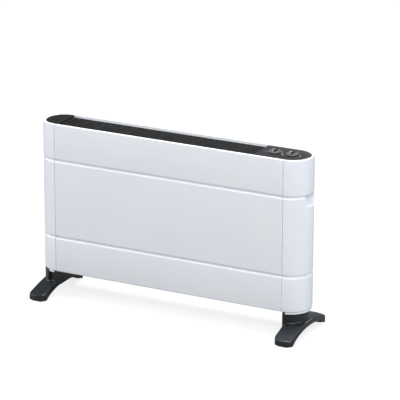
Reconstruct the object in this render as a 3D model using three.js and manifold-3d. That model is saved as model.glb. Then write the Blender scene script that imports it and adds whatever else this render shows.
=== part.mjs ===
// Convector heater with rounded ends, standing on two arched feet.
// Millimetres, +Z up, origin on the floor below the middle of the body.
// +X runs along the body towards the controls, the front faces -Y.

import * as THREE from 'three';
import { mergeVertices } from 'three/addons/utils/BufferGeometryUtils.js';
import Module from 'manifold-3d';

const wasm = await Module();
wasm.setup();

// ---------------------------------------------------------------- driving dimensions

const BODY_DEPTH = 105; // front face to rear face, also the diameter of the round ends
const PANEL_LENGTH = 622; // straight front panel, seam to seam
const BODY_HEIGHT = 383.5;
const BODY_CLEARANCE = 66.5; // floor to the underside of the body

const PANEL_WALL = 1.6;
const CAP_WALL = 2.6;
const SEAM_GAP = 0.5; // between a panel and a cap
const FIT_GAP = 0.4; // between pieces that rest against each other

const RIM_WIDTH = 7.5; // rolled top edge of the panels and caps
const RIM_DROP = 20; // how far its inner leg hangs down
const BOTTOM_RADIUS = 4;
const BOTTOM_FLANGE = 12; // turned in under the body

const UPPER_GROOVE_DROP = 94; // top of the body down to the groove's bottom line
const LOWER_GROOVE_RISE = 90; // underside of the body up to the groove's bottom line
const GROOVE_DEPTH = 3.5;
const GROOVE_ABOVE = 6; // flank above the groove's bottom line
const GROOVE_BELOW = 4; // flank below it

const PLATE_RECESS = 2.5; // rim down to the end plate and control panel
const GRILLE_RECESS = 8.5; // rim down to the slatted grille
const PLATE_THICKNESS = 3;
const SKIRT_WALL = 2;
const SKIRT_DROP = 12; // skirt round the edge of a top plate
const LEFT_PLATE_INBOARD = 2.5; // how far the left plate reaches past its seam
const CONTROL_INBOARD = 85; // how far the control panel reaches past its seam

const GRILLE_THICKNESS = 6;
const GRILLE_FRAME = 4;
const GRILLE_BAYS = 6; // between ribs, along the heater
const GRILLE_RIB = 3;
const GRILLE_ROWS = 11; // slots from front to rear
const SLAT_WIDTH = 3;

const GRIP_WIDTH = 46;
const GRIP_HEIGHT = 21;
const GRIP_DEPTH = 15;
const GRIP_LIP_DROP = 14; // how much lower the outer edge of the sloping floor lies
const GRIP_WALL = 2.4;

const KNOB_RADIUS = 15.5;
const KNOB_SKIRT = 3;
const KNOB_GRIP_LENGTH = 27;
const KNOB_GRIP_WIDTH = 7;
const KNOB_GRIP_HEIGHT = 9;
const KNOB_LIFT = 0.8; // clear of the control panel
const SELECTOR_INBOARD = 3; // from the cap's axis
const KNOB_SPACING = 45;
const SHAFT_RADIUS = 2.5;
const SHAFT_CLEARANCE = 0.4;
const SHAFT_SOCKET = 6; // depth of the shaft's hole in the knob

const FOOT_LENGTH = 212; // front to rear
const FOOT_WIDTH = 48;
const FOOT_INSET = 3; // cap's axis to the inner side of the foot
const FOOT_FORWARD = 3; // the foot's middle lies this far in front of the cap's axis
const FOOT_CORNER_RADIUS = 13;
const FOOT_BOW = 4; // how far the ends bulge
const FOOT_ARCH_HEIGHT = 22;
const FOOT_ARCH_SPAN = 179;
const COLUMN_FOOT_HEIGHT = 34.5; // where the round column meets the spreading foot
const FOOT_SLOPE = 0.294;
const COLUMN_INSET = 0.6; // from the cap's surface to the column's
const COLUMN_INNER_INSET = 0.5; // cap's axis to the column's inner side
const COLUMN_HOLLOW = 7; // depth of the hollowed parts of the column
const RIGHT_HOLLOWS = [[-82, 60]]; // degrees from the outboard direction, anticlockwise
const LEFT_HOLLOWS = [[-83, -62], [62, 83]];
const LID_INSET = 1.5; // from the column's surface to the lid's

const PAD_LENGTH = 30;
const PAD_WIDTH = 12;
const PAD_THICKNESS = 1.5;
const PAD_END_INSET = 5;

const BASE_DROP = 4.5; // the cap's base shows this far below the cap
const BOSS_RADIUS = 6;
const BOSS_HEIGHT = 24;
const BOSS_EDGE_GAP = 0.9; // boss to the flange under the cap
const FOOT_SCREW_ANGLE = 36.5; // degrees from the outboard direction
const SCREW_RADIUS = 2;
const SCREW_CLEARANCE = 0.4;
const SCREW_HEAD_RADIUS = 4;
const SCREW_HEAD_HEIGHT = 2.6;
const FOOT_SCREW_LENGTH = 34;
const FOOT_SCREW_GRIP = 12; // foot material above the screw's head

const FRAME_WALL = 1.5; // partitions at the ends of the hot space
const LEFT_FRAME_INBOARD = 14;
const RIGHT_FRAME_INBOARD = 93;
const INLET_THICKNESS = 2.5;
const INLET_FRAME = 10;
const INLET_BAYS = 35; // openings, each the whole depth
const INLET_BAR = 5;

const ELEMENT_HEIGHTS = { lower: 66, upper: 124 }; // above the underside of the body
const FIN_COUNT = 10;
const FIN_REACH = 25;
const FIN_WALL = 2;
const HUB_RADIUS = 8;
const SHEATH_RADIUS = 4;
const SHEATH_OVERHANG = 16;
const ELEMENT_END_GAP = 12;
const TERMINAL_RADIUS = 1.6;
const BUSH_RADIUS = 8;
const BUSH_FLANGE = 12;
const BUSH_FLANGE_THICKNESS = 4;

const SHIELD_WALL = 1;
const SHIELD_PANEL_GAP = 2; // shield's edge to the inside of a groove
const SHIELD_HEIGHT = 250;
const SHIELD_LIFT = 36; // above the underside of the body
const SHIELD_LEG = 5;

const CUTOUT_RADIUS = 8;
const CUTOUT_HEIGHT = 6;
const CUTOUT_FLANGE_LENGTH = 28;
const CUTOUT_FLANGE_WIDTH = 12;
const CUTOUT_FLANGE_WALL = 1.5;
const CUTOUT_RISE = 48; // above the upper element
const WIRE_HOLE_RADIUS = 9;
const WIRE_HOLE_RISE = 80; // above the upper element
const PIN_LENGTH = 8; // element terminals
const BUSH_SPIGOT = 6;

const SWITCH_LENGTH = 34;
const SWITCH_DEPTH = 32;
const SWITCH_HEIGHT = 24;
const SWITCH_BUSH_RADIUS = 5.5;
const BRACKET_DROP = 15; // control panel's underside down to its bracket
const BRACKET_WALL = 1.5;
const BRACKET_EDGE_GAP = 8.6; // to the control panel's skirt
const BRACKET_LEFT_INSET = 8;
const BRACKET_OUTBOARD = 22; // past the cap's axis
const BRACKET_RIGHT_LEG = 40;
const BUSH_PROUD = 6; // switch bush above the bracket
const BLADE_SPACING = 10;
const BLADE_LENGTH = 7;
const BLADE_WIDTH = 6;
const BLADE_WALL = 1;

const HANGER_SPACING = 360;
const HANGER_WIDTH = 70;
const HANGER_HEIGHT = 46;
const HANGER_STANDOFF = 9;
const HANGER_WALL = 2;
const HANGER_FOOT = 14; // each side's strip against the panel
const HANGER_TOP = 62; // below the top of the body
const KEYHOLE_HEAD = 6.5;
const KEYHOLE_SLOT = 3.2;
const KEYHOLE_RISE = 14;
const HANGER_SCREW_LENGTH = 9;

const CAP_TONGUE = 10; // reaches behind the panel
const CAP_TONGUE_WALL = 2;
const TONGUE_END_GAP = 6; // tongue to the nearest groove
const CAP_SCREW_INSET = 15; // cap screw to the tongue's end
const CAP_SCREW_LENGTH = 8;

const GLAND_FLANGE_RADIUS = 11;
const GLAND_BODY_RADIUS = 7.5;
const GLAND_BORE_RADIUS = 4;
const GLAND_HEIGHT = 34; // above the underside of the body
const GLAND_INBOARD = 24;
const GLAND_PROUD = 7;
const GLAND_FLANGE_WALL = 2.5;
const GLAND_INSIDE = 9;

const TERMINAL_LENGTH = 24;
const TERMINAL_DEPTH = 14;
const TERMINAL_HEIGHT = 16;
const TERMINAL_LIFT = 60; // above the underside of the body
const TERMINAL_PANEL_GAP = 9;
const TERMINAL_PITCH = 7;
const TERMINAL_WELL_RADIUS = 2.2;

const LEAD_RADIUS = 1.6;
const LEAD_STEPS = 16;
const ROUND_STEPS = 18; // per half turn of the outer round surfaces

// ---------------------------------------------------------------- derived places

const bodyRadius = BODY_DEPTH / 2;
const seamX = PANEL_LENGTH / 2;
const bodyBottom = BODY_CLEARANCE;
const bodyTop = BODY_CLEARANCE + BODY_HEIGHT;
const upperGroove = bodyTop - UPPER_GROOVE_DROP;
const lowerGroove = bodyBottom + LOWER_GROOVE_RISE;
const rimInside = bodyRadius - RIM_WIDTH;
const plateHalfDepth = rimInside - FIT_GAP;
const plateTop = bodyTop - PLATE_RECESS;
const grilleTop = bodyTop - GRILLE_RECESS;
const grilleBottom = grilleTop - GRILLE_THICKNESS;
const controlLeft = seamX - CONTROL_INBOARD;
const leftPlateRight = -seamX + LEFT_PLATE_INBOARD;
const leftFrameX = -seamX + LEFT_FRAME_INBOARD;
const rightFrameX = seamX - RIGHT_FRAME_INBOARD;
const insidePanel = bodyRadius - PANEL_WALL - FIT_GAP;
const insideGroove = bodyRadius - GROOVE_DEPTH - PANEL_WALL - FIT_GAP;
const shieldFace = insideGroove - SHIELD_PANEL_GAP - SHIELD_LEG;
const bracketHalfDepth = plateHalfDepth - SKIRT_WALL - BRACKET_EDGE_GAP;
const inletBottom = bodyBottom + PANEL_WALL + FIT_GAP;
const frameBottom = inletBottom + INLET_THICKNESS + FIT_GAP;
const frameTop = grilleBottom - FIT_GAP;
const baseBottom = bodyBottom - BASE_DROP;
const footMiddle = seamX + FOOT_INSET + FOOT_WIDTH / 2;
const footTop = baseBottom - FIT_GAP;
const footScrewSeat = footTop - FOOT_SCREW_GRIP;
const footBottom = PAD_THICKNESS + FIT_GAP;
const columnRadius = bodyRadius - COLUMN_INSET;
const hollowRadius = columnRadius - COLUMN_HOLLOW;
const lidRadius = columnRadius - LID_INSET;
const selectorX = seamX - SELECTOR_INBOARD;
const thermostatX = selectorX - KNOB_SPACING;
const bracketTop = plateTop - PLATE_THICKNESS - BRACKET_DROP;
const switchTop = bracketTop - BRACKET_WALL - FIT_GAP;
const knobBottom = plateTop + KNOB_LIFT;
const shaftHole = SHAFT_RADIUS + SHAFT_CLEARANCE;
const screwHole = SCREW_RADIUS + SCREW_CLEARANCE;
const elementZ = (name) => bodyBottom + ELEMENT_HEIGHTS[name];

// ---------------------------------------------------------------- materials

function finish(color, roughness, metalness = 0) {
  return new THREE.MeshStandardMaterial({ color, roughness, metalness });
}

const whiteEnamel = finish(0xe4e7ec, 0.45);
const whitePlastic = finish(0xe9ecf1, 0.4);
const blackPlastic = finish(0x3a3b3e, 0.55);
const greyPlastic = finish(0x4c4d52, 0.5);
const footPlastic = finish(0x33373a, 0.5);
const rubber = finish(0x1c1c1d, 0.9);
const aluminium = finish(0xb9bcc0, 0.4, 0.9);
const galvanised = finish(0xa7abae, 0.45, 0.8);
const steel = finish(0x9a9da1, 0.35, 0.9);
const ceramic = finish(0xe6dfd0, 0.6);
const mouldedBrown = finish(0x5b4034, 0.5);
const leadRed = finish(0x8c2f28, 0.6);
const leadBlue = finish(0x2d4f7a, 0.6);

// ---------------------------------------------------------------- geometry helpers

const upAxis = new THREE.Vector3(0, 0, 1);

function closedSolid(geometry) {
  const bare = geometry.clone();
  bare.deleteAttribute('normal');
  bare.deleteAttribute('uv');
  const merged = mergeVertices(bare, 1e-4);
  return new wasm.Manifold(new wasm.Mesh({
    numProp: 3,
    vertProperties: new Float32Array(merged.attributes.position.array),
    triVerts: new Uint32Array(merged.index.array),
  }));
}

function toGeometry(solid) {
  const mesh = solid.getMesh();
  const geometry = new THREE.BufferGeometry();
  geometry.setAttribute('position', new THREE.BufferAttribute(mesh.vertProperties, 3));
  geometry.setIndex(new THREE.BufferAttribute(mesh.triVerts, 1));
  return geometry;
}

function box(x0, x1, y0, y1, z0, z1) {
  const geometry = new THREE.BoxGeometry(x1 - x0, y1 - y0, z1 - z0);
  return geometry.translate((x0 + x1) / 2, (y0 + y1) / 2, (z0 + z1) / 2);
}

// A prism standing on its outline in the XY plane, from height z0 to z1.
function prism(shape, z0, z1, curveSegments = 12) {
  const options = { depth: z1 - z0, bevelEnabled: false, curveSegments };
  return new THREE.ExtrudeGeometry(shape, options).translate(0, 0, z0);
}

// A prism whose outline is drawn in (Y, Z), running along X from x0 to x1.
function prismAlongX(shape, x0, x1, curveSegments = 12) {
  const options = { depth: x1 - x0, bevelEnabled: false, curveSegments };
  const basis = new THREE.Matrix4().makeBasis(
    new THREE.Vector3(0, 1, 0),
    upAxis,
    new THREE.Vector3(1, 0, 0),
  );
  return new THREE.ExtrudeGeometry(shape, options).applyMatrix4(basis).translate(x0, 0, 0);
}

// A turned solid standing on Z, from (radius, height) points that run upwards.
function turned(points, segments) {
  const profile = points.map(([radius, height]) => new THREE.Vector2(radius, height));
  return new THREE.LatheGeometry(profile, segments).rotateX(Math.PI / 2);
}

function rod(radius, z0, z1, segments = 20) {
  return turned([[0, z0], [radius, z0], [radius, z1], [0, z1]], segments);
}

function shapeFrom(points, mirror = 1) {
  const list = points.map(([u, v]) => new THREE.Vector2(mirror * u, v));
  return new THREE.Shape(list);
}

function arc(centreU, centreV, radius, from, to, steps) {
  const points = [];
  for (let i = 0; i <= steps; i += 1) {
    const angle = THREE.MathUtils.degToRad(from + ((to - from) * i) / steps);
    points.push([centreU + radius * Math.cos(angle), centreV + radius * Math.sin(angle)]);
  }
  return points;
}

function circlePath(x, y, radius) {
  const path = new THREE.Path();
  path.absarc(x, y, radius, 0, 2 * Math.PI, true);
  return path;
}

// ---------------------------------------------------------------- assembly

const heater = new THREE.Group();

function add(name, geometry, material, place = [0, 0, 0], turn = [0, 0, 0]) {
  const mesh = new THREE.Mesh(geometry, material);
  mesh.name = name;
  mesh.position.set(...place);
  mesh.rotation.set(...turn);
  heater.add(mesh);
}

// ---------------------------------------------------------------- casing

function grooveOutside(centre) {
  return [
    [bodyRadius, centre - GROOVE_BELOW],
    [bodyRadius - GROOVE_DEPTH, centre],
    [bodyRadius, centre + GROOVE_ABOVE],
  ];
}

function grooveInside(centre, wall) {
  return [
    [bodyRadius - wall, centre + GROOVE_ABOVE + wall],
    [bodyRadius - GROOVE_DEPTH - wall, centre],
    [bodyRadius - wall, centre - GROOVE_BELOW - wall],
  ];
}

// Section of the casing wall in (distance from the middle, height): the outer face from the
// turned-in bottom edge up over the rolled rim, then back down inside.
function casingSection(wall) {
  const rimRadius = RIM_WIDTH / 2;
  const rimCentre = bodyRadius - rimRadius;
  const flangeInside = bodyRadius - BOTTOM_FLANGE;
  const cornerCentre = bodyRadius - BOTTOM_RADIUS;
  const corner = BOTTOM_RADIUS - wall;
  return [
    [flangeInside, bodyBottom],
    ...arc(cornerCentre, bodyBottom + BOTTOM_RADIUS, BOTTOM_RADIUS, -90, 0, 4),
    ...grooveOutside(lowerGroove),
    ...grooveOutside(upperGroove),
    ...arc(rimCentre, bodyTop - rimRadius, rimRadius, 0, 180, 8),
    [rimInside, bodyTop - RIM_DROP],
    [rimInside + wall, bodyTop - RIM_DROP],
    [bodyRadius - wall, bodyTop - RIM_DROP - RIM_WIDTH],
    ...grooveInside(upperGroove, wall),
    ...grooveInside(lowerGroove, wall),
    ...arc(cornerCentre, bodyBottom + BOTTOM_RADIUS, corner, 0, -90, 3),
    [flangeInside, bodyBottom + wall],
  ];
}

// A long panel: side -1 is the front, side 1 the rear.
function panelGeometry(side) {
  const length = seamX - SEAM_GAP;
  return prismAlongX(shapeFrom(casingSection(PANEL_WALL), side), -length, length);
}

function rearPanelGeometry() {
  let solid = closedSolid(panelGeometry(1));
  const through = (radius, x, z) => closedSolid(rod(radius, -BODY_DEPTH, 0, 16)
    .rotateX(Math.PI / 2).translate(x, 0, z));
  for (const x of hangerScrewPlaces()) {
    solid = solid.subtract(through(screwHole, x, hangerZ));
  }
  for (const end of [-1, 1]) {
    for (const z of capScrewHeights()) {
      solid = solid.subtract(through(screwHole, end * capScrewX, z));
    }
  }
  const glandHole = through(GLAND_BODY_RADIUS + FIT_GAP, glandX, glandZ);
  return toGeometry(solid.subtract(glandHole));
}

// Grip recess in the round end: a level ceiling for the fingers and a floor that slopes out.
function gripOutline(grow) {
  const outer = bodyRadius + 1;
  const back = bodyRadius - GRIP_DEPTH - grow;
  const ceiling = upperGroove + GROOVE_ABOVE + grow;
  const floorBack = upperGroove + GROOVE_ABOVE - GRIP_HEIGHT - grow;
  return [
    [back, floorBack],
    [outer, floorBack - GRIP_LIP_DROP],
    [outer, ceiling],
    [back, ceiling],
  ];
}

// The outline is drawn in (X, Z) from the cap's axis and spans the grip's width in Y.
function gripBlock(grow) {
  const halfWidth = GRIP_WIDTH / 2 + grow;
  const options = { depth: 2 * halfWidth, bevelEnabled: false };
  const block = new THREE.ExtrudeGeometry(shapeFrom(gripOutline(grow)), options);
  return closedSolid(block.rotateX(Math.PI / 2).translate(0, halfWidth, 0));
}

// The round end, drawn at the +X end about its own axis.
function capSolid() {
  const section = casingSection(CAP_WALL);
  const closed = [...section, section[0]];
  const wholeRound = closedSolid(turned(closed, 2 * ROUND_STEPS));
  const reach = BODY_DEPTH;
  const outboard = closedSolid(box(0, reach, -reach, reach, 0, bodyTop + reach));
  const roundEnd = wholeRound.intersect(outboard);
  const envelopeRadius = bodyRadius - CAP_WALL / 2;
  const envelope = closedSolid(rod(envelopeRadius, bodyBottom, bodyTop, 2 * ROUND_STEPS));
  const gripLiner = gripBlock(GRIP_WALL).intersect(envelope);
  return roundEnd.add(gripLiner).subtract(gripBlock(0));
}

function tongueSpan() {
  const low = lowerGroove + GROOVE_ABOVE + TONGUE_END_GAP;
  const high = upperGroove - GROOVE_BELOW - TONGUE_END_GAP;
  return [low, high];
}

function endCapGeometry() {
  let solid = capSolid();
  const [low, high] = tongueSpan();
  for (const side of [-1, 1]) {
    const outer = side * insidePanel;
    const inner = side * (insidePanel - CAP_TONGUE_WALL);
    const y0 = Math.min(outer, inner);
    const y1 = Math.max(outer, inner);
    solid = solid.add(closedSolid(box(-CAP_TONGUE, 5, y0, y1, low, high)));
  }
  for (const z of capScrewHeights()) {
    const hole = rod(screwHole, -BODY_DEPTH, BODY_DEPTH, 16).rotateX(Math.PI / 2);
    solid = solid.subtract(closedSolid(hole.translate(-(seamX - capScrewX), 0, z)));
  }
  return toGeometry(solid);
}

// The right end piece is turned half round to make the left one: the two are alike.
function addAtBothEnds(name, geometry, material) {
  add(`right_${name}`, geometry, material, [seamX, 0, 0]);
  add(`left_${name}`, geometry, material, [-seamX, 0, 0], [0, 0, Math.PI]);
}

// ---------------------------------------------------------------- cap base and feet

// Half-round plan with its straight side towards the middle of the heater.
function halfRound(radius, inset) {
  const lean = Math.asin(inset / radius);
  const shape = new THREE.Shape();
  shape.absarc(0, 0, radius, -Math.PI / 2 + lean, Math.PI / 2 - lean, false);
  shape.closePath();
  return shape;
}

// A hollowed part of the column as a solid, between two angles and grown a little at both.
function hollowSector([from, to], inner, z0, z1, grow) {
  const outer = bodyRadius + 1;
  const lean = THREE.MathUtils.radToDeg(grow / columnRadius);
  const rim = arc(0, 0, outer, from - lean, to + lean, 2 * ROUND_STEPS);
  const heart = arc(0, 0, inner, to + lean, from - lean, 2 * ROUND_STEPS);
  return closedSolid(prism(shapeFrom([...rim, ...heart]), z0, z1));
}

function columnHollows(spans, inner, z0, z1, grow) {
  const sectors = spans.map((span) => hollowSector(span, inner, z0, z1, grow));
  return sectors.reduce((all, sector) => all.add(sector));
}

// The two screws of a foot, measured from the cap's axis.
function footScrewPlaces() {
  const radius = bodyRadius - BOTTOM_FLANGE - BOSS_EDGE_GAP - BOSS_RADIUS;
  const angle = THREE.MathUtils.degToRad(FOOT_SCREW_ANGLE);
  const x = radius * Math.cos(angle);
  const y = radius * Math.sin(angle);
  return [[x, -y], [x, y]];
}

// The white lid under a cap: it shows in the column's hollowed parts only.
function capBaseGeometry(spans) {
  const top = bodyBottom - FIT_GAP;
  const middle = closedSolid(prism(halfRound(hollowRadius, SEAM_GAP), baseBottom, top, ROUND_STEPS));
  const full = closedSolid(prism(halfRound(lidRadius, SEAM_GAP), baseBottom, top, ROUND_STEPS));
  const hollows = columnHollows(spans, hollowRadius - 2, baseBottom, top, -FIT_GAP);
  let solid = middle.add(full.intersect(hollows));
  const bossTop = bodyBottom + BOSS_HEIGHT;
  for (const [x, y] of footScrewPlaces()) {
    const boss = rod(BOSS_RADIUS, top - 1, bossTop, 16).translate(x, y, 0);
    solid = solid.add(closedSolid(boss));
  }
  const holeTop = footScrewSeat + FOOT_SCREW_LENGTH + FIT_GAP;
  for (const [x, y] of footScrewPlaces()) {
    const hole = rod(screwHole, baseBottom - 1, holeTop, 12);
    solid = solid.subtract(closedSolid(hole.translate(x, y, 0)));
  }
  return toGeometry(solid);
}

// Plan of the foot: straight sides, and ends rounded at both corners and slightly bowed.
function footPlan() {
  const end = FOOT_LENGTH / 2;
  const shoulder = end - FOOT_BOW / 2;
  const straight = end - FOOT_BOW - FOOT_CORNER_RADIUS;
  const corner = end - FOOT_BOW;
  const inner = FOOT_INSET;
  const outer = FOOT_INSET + FOOT_WIDTH;
  const middle = (inner + outer) / 2;
  const r = FOOT_CORNER_RADIUS;
  const shape = new THREE.Shape();
  shape.moveTo(outer, -straight);
  shape.lineTo(outer, straight);
  shape.quadraticCurveTo(outer, corner, outer - r, shoulder);
  shape.quadraticCurveTo(middle, end + FOOT_BOW / 2, inner + r, shoulder);
  shape.quadraticCurveTo(inner, corner, inner, straight);
  shape.lineTo(inner, -straight);
  shape.quadraticCurveTo(inner, -corner, inner + r, -shoulder);
  shape.quadraticCurveTo(middle, -end - FOOT_BOW / 2, outer - r, -shoulder);
  shape.quadraticCurveTo(outer, -corner, outer, -straight);
  return shape;
}

// Underside of the foot in (Y, Z): an arch a little fuller than a parabola.
function archOutline(middle) {
  const steps = 24;
  const fullness = 0.75;
  const half = FOOT_ARCH_SPAN / 2;
  const below = footBottom - 5;
  const points = [[middle + half, below]];
  for (let i = 0; i <= steps; i += 1) {
    const across = Math.cos((Math.PI * i) / steps);
    const rise = FOOT_ARCH_HEIGHT * Math.max(1 - across * across, 0) ** fullness;
    points.push([middle + half * across, footBottom + rise]);
  }
  points.push([middle - half, below]);
  return points;
}

// A flat cone about the column's axis: the foot's top surface falls away from the column.
function footCone() {
  const reach = FOOT_LENGTH;
  const peak = COLUMN_FOOT_HEIGHT + FOOT_SLOPE * columnRadius;
  const flatFrom = (peak - footBottom - 1) / FOOT_SLOPE;
  const edge = Math.min(reach, flatFrom);
  return turned([
    [0, footBottom],
    [edge, footBottom],
    [edge, peak - FOOT_SLOPE * edge],
    [0, peak],
  ], 3 * ROUND_STEPS);
}

function columnSolid(spans) {
  const low = footBottom + FOOT_ARCH_HEIGHT;
  const outline = halfRound(columnRadius, COLUMN_INNER_INSET);
  const shoulder = closedSolid(prism(outline, low, footTop, ROUND_STEPS));
  const prongTop = bodyBottom - FIT_GAP;
  const prongs = closedSolid(prism(outline, low, prongTop, ROUND_STEPS));
  const lidSpace = halfRound(hollowRadius + FIT_GAP, 0);
  const lid = closedSolid(prism(lidSpace, footTop, prongTop + 1, ROUND_STEPS));
  const hollows = columnHollows(spans, hollowRadius, low, prongTop + 1, 0);
  return shoulder.add(prongs.subtract(lid)).subtract(hollows);
}

// A foot about its cap's axis, drawn for the right end: its middle lies at Y = middle.
function footGeometry(middle, spans) {
  const plan = closedSolid(prism(footPlan(), footBottom - 1, footTop, 5).translate(0, middle, 0));
  const arch = closedSolid(prismAlongX(shapeFrom(archOutline(middle)), -BODY_DEPTH, BODY_DEPTH));
  const spread = closedSolid(footCone()).intersect(plan);
  let solid = columnSolid(spans).add(spread).subtract(arch);
  for (const [x, y] of footScrewPlaces()) {
    const hole = rod(screwHole, 0, footTop + 1, 12).translate(x, y, 0);
    const counterbore = rod(SCREW_HEAD_RADIUS + 1, 0, footScrewSeat, 16).translate(x, y, 0);
    solid = solid.subtract(closedSolid(hole)).subtract(closedSolid(counterbore));
  }
  return toGeometry(solid);
}

function screwGeometry(length) {
  const head = SCREW_HEAD_HEIGHT;
  return turned([
    [0, -head],
    [SCREW_HEAD_RADIUS * 0.6, -head * 0.95],
    [SCREW_HEAD_RADIUS, -head * 0.4],
    [SCREW_HEAD_RADIUS, 0],
    [SCREW_RADIUS, 0],
    [SCREW_RADIUS, length - SCREW_RADIUS],
    [0, length],
  ], 12);
}

function addFeet() {
  const turn = [0, 0, Math.PI];
  add('right_cap_base', capBaseGeometry(RIGHT_HOLLOWS), whitePlastic, [seamX, 0, 0]);
  add('left_cap_base', capBaseGeometry(LEFT_HOLLOWS), whitePlastic, [-seamX, 0, 0], turn);
  add('right_foot', footGeometry(-FOOT_FORWARD, RIGHT_HOLLOWS), footPlastic, [seamX, 0, 0]);
  add('left_foot', footGeometry(FOOT_FORWARD, LEFT_HOLLOWS), footPlastic, [-seamX, 0, 0], turn);
  const padY = FOOT_LENGTH / 2 - PAD_END_INSET - PAD_WIDTH / 2;
  const halfLength = PAD_LENGTH / 2;
  const halfWidth = PAD_WIDTH / 2;
  const pad = box(-halfLength, halfLength, -halfWidth, halfWidth, 0, PAD_THICKNESS);
  const screw = screwGeometry(FOOT_SCREW_LENGTH);
  const seat = footScrewSeat - FIT_GAP;
  const [[screwX, frontY], [, rearY]] = footScrewPlaces();
  for (const [end, side] of [['left', -1], ['right', 1]]) {
    for (const [where, along, screwY] of [['front', -1, frontY], ['rear', 1, rearY]]) {
      const padPlace = [side * footMiddle, along * padY - FOOT_FORWARD, 0];
      add(`${end}_${where}_pad`, pad, rubber, padPlace);
      const screwPlace = [side * (seamX + screwX), screwY, seat];
      add(`${end}_${where}_foot_screw`, screw, steel, screwPlace);
    }
  }
}

// ---------------------------------------------------------------- top: plates and grille

// A plate with a skirt, rounded at the +X end about the cap's axis, from x0 to the rim.
function topPlateSolid(inboard) {
  const outline = (grow) => {
    const shape = new THREE.Shape();
    const radius = plateHalfDepth - grow;
    shape.moveTo(-inboard + grow, -radius);
    shape.lineTo(0, -radius);
    shape.absarc(0, 0, radius, -Math.PI / 2, Math.PI / 2, false);
    shape.lineTo(-inboard + grow, radius);
    shape.closePath();
    return shape;
  };
  const plate = prism(outline(0), plateTop - PLATE_THICKNESS, plateTop, ROUND_STEPS);
  const skirtBottom = plateTop - SKIRT_DROP;
  const skirt = closedSolid(prism(outline(0), skirtBottom, plateTop - 1, ROUND_STEPS));
  const hollow = closedSolid(prism(outline(SKIRT_WALL), skirtBottom - 1, plateTop, ROUND_STEPS));
  return closedSolid(plate).add(skirt.subtract(hollow));
}

function controlPanelGeometry() {
  let solid = topPlateSolid(CONTROL_INBOARD);
  for (const x of [thermostatX, selectorX]) {
    const hole = rod(shaftHole + SHAFT_CLEARANCE, bracketTop, bodyTop).translate(x - seamX, 0, 0);
    solid = solid.subtract(closedSolid(hole));
  }
  return toGeometry(solid);
}

// A flat frame from x0 to x1 with ribs across it and slats along it.
function slattedPlate(x0, x1, halfDepth, frame, bays, rib, rows, slat, z0, z1) {
  let solid = closedSolid(box(x0, x1, -halfDepth, halfDepth, z0, z1));
  const bay = (x1 - x0 - 2 * frame + rib) / bays;
  const row = (2 * (halfDepth - frame) + slat) / rows;
  for (let i = 0; i < bays; i += 1) {
    const start = x0 + frame + i * bay;
    for (let j = 0; j < rows; j += 1) {
      const front = frame - halfDepth + j * row;
      const slot = box(start, start + bay - rib, front, front + row - slat, z0 - 1, z1 + 1);
      solid = solid.subtract(closedSolid(slot));
    }
  }
  return toGeometry(solid);
}

function addTop() {
  const left = leftPlateRight + FIT_GAP;
  const right = controlLeft - FIT_GAP;
  const grille = slattedPlate(
    left, right, plateHalfDepth, GRILLE_FRAME, GRILLE_BAYS, GRILLE_RIB, GRILLE_ROWS, SLAT_WIDTH,
    grilleBottom, grilleTop,
  );
  add('outlet_grille', grille, blackPlastic);
  const leftPlate = toGeometry(topPlateSolid(LEFT_PLATE_INBOARD));
  add('left_top_plate', leftPlate, blackPlastic, [-seamX, 0, 0], [0, 0, Math.PI]);
  add('control_panel', controlPanelGeometry(), greyPlastic, [seamX, 0, 0]);
}

// ---------------------------------------------------------------- controls

function knobGeometry() {
  const skirt = turned([
    [0, 0],
    [KNOB_RADIUS, 0],
    [KNOB_RADIUS, KNOB_SKIRT - 2],
    [KNOB_RADIUS - 1.5, KNOB_SKIRT],
    [0, KNOB_SKIRT],
  ], 32);
  const halfWidth = KNOB_GRIP_WIDTH / 2;
  const halfLength = KNOB_GRIP_LENGTH / 2;
  const grip = new THREE.Shape();
  grip.absarc(0, halfLength - halfWidth, halfWidth, 0, Math.PI, false);
  grip.absarc(0, -halfLength + halfWidth, halfWidth, Math.PI, 2 * Math.PI, false);
  grip.closePath();
  const bar = closedSolid(prism(grip, KNOB_SKIRT - 1, KNOB_GRIP_HEIGHT, 6));
  const socket = closedSolid(rod(shaftHole, -1, SHAFT_SOCKET));
  return toGeometry(closedSolid(skirt).add(bar).subtract(socket));
}

function shaftGeometry() {
  const top = knobBottom + SHAFT_SOCKET - FIT_GAP;
  const bottom = switchTop - SWITCH_HEIGHT / 2 + FIT_GAP;
  return rod(SHAFT_RADIUS, bottom, top, 16);
}

function switchBodyGeometry() {
  const halfLength = SWITCH_LENGTH / 2;
  const halfDepth = SWITCH_DEPTH / 2;
  const bottom = switchTop - SWITCH_HEIGHT;
  let solid = closedSolid(box(-halfLength, halfLength, -halfDepth, halfDepth, bottom, switchTop));
  const bushTop = bracketTop + BUSH_PROUD;
  solid = solid.add(closedSolid(rod(SWITCH_BUSH_RADIUS, switchTop - 1, bushTop)));
  solid = solid.subtract(closedSolid(rod(shaftHole, switchTop - SWITCH_HEIGHT / 2, bushTop + 1)));
  const halfBlade = BLADE_WIDTH / 2;
  const halfWall = BLADE_WALL / 2;
  for (const x of [-BLADE_SPACING, 0, BLADE_SPACING]) {
    const low = bottom - BLADE_LENGTH;
    const blade = box(x - halfBlade, x + halfBlade, -halfWall, halfWall, low, bottom + 1);
    solid = solid.add(closedSolid(blade));
  }
  return toGeometry(solid);
}

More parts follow.
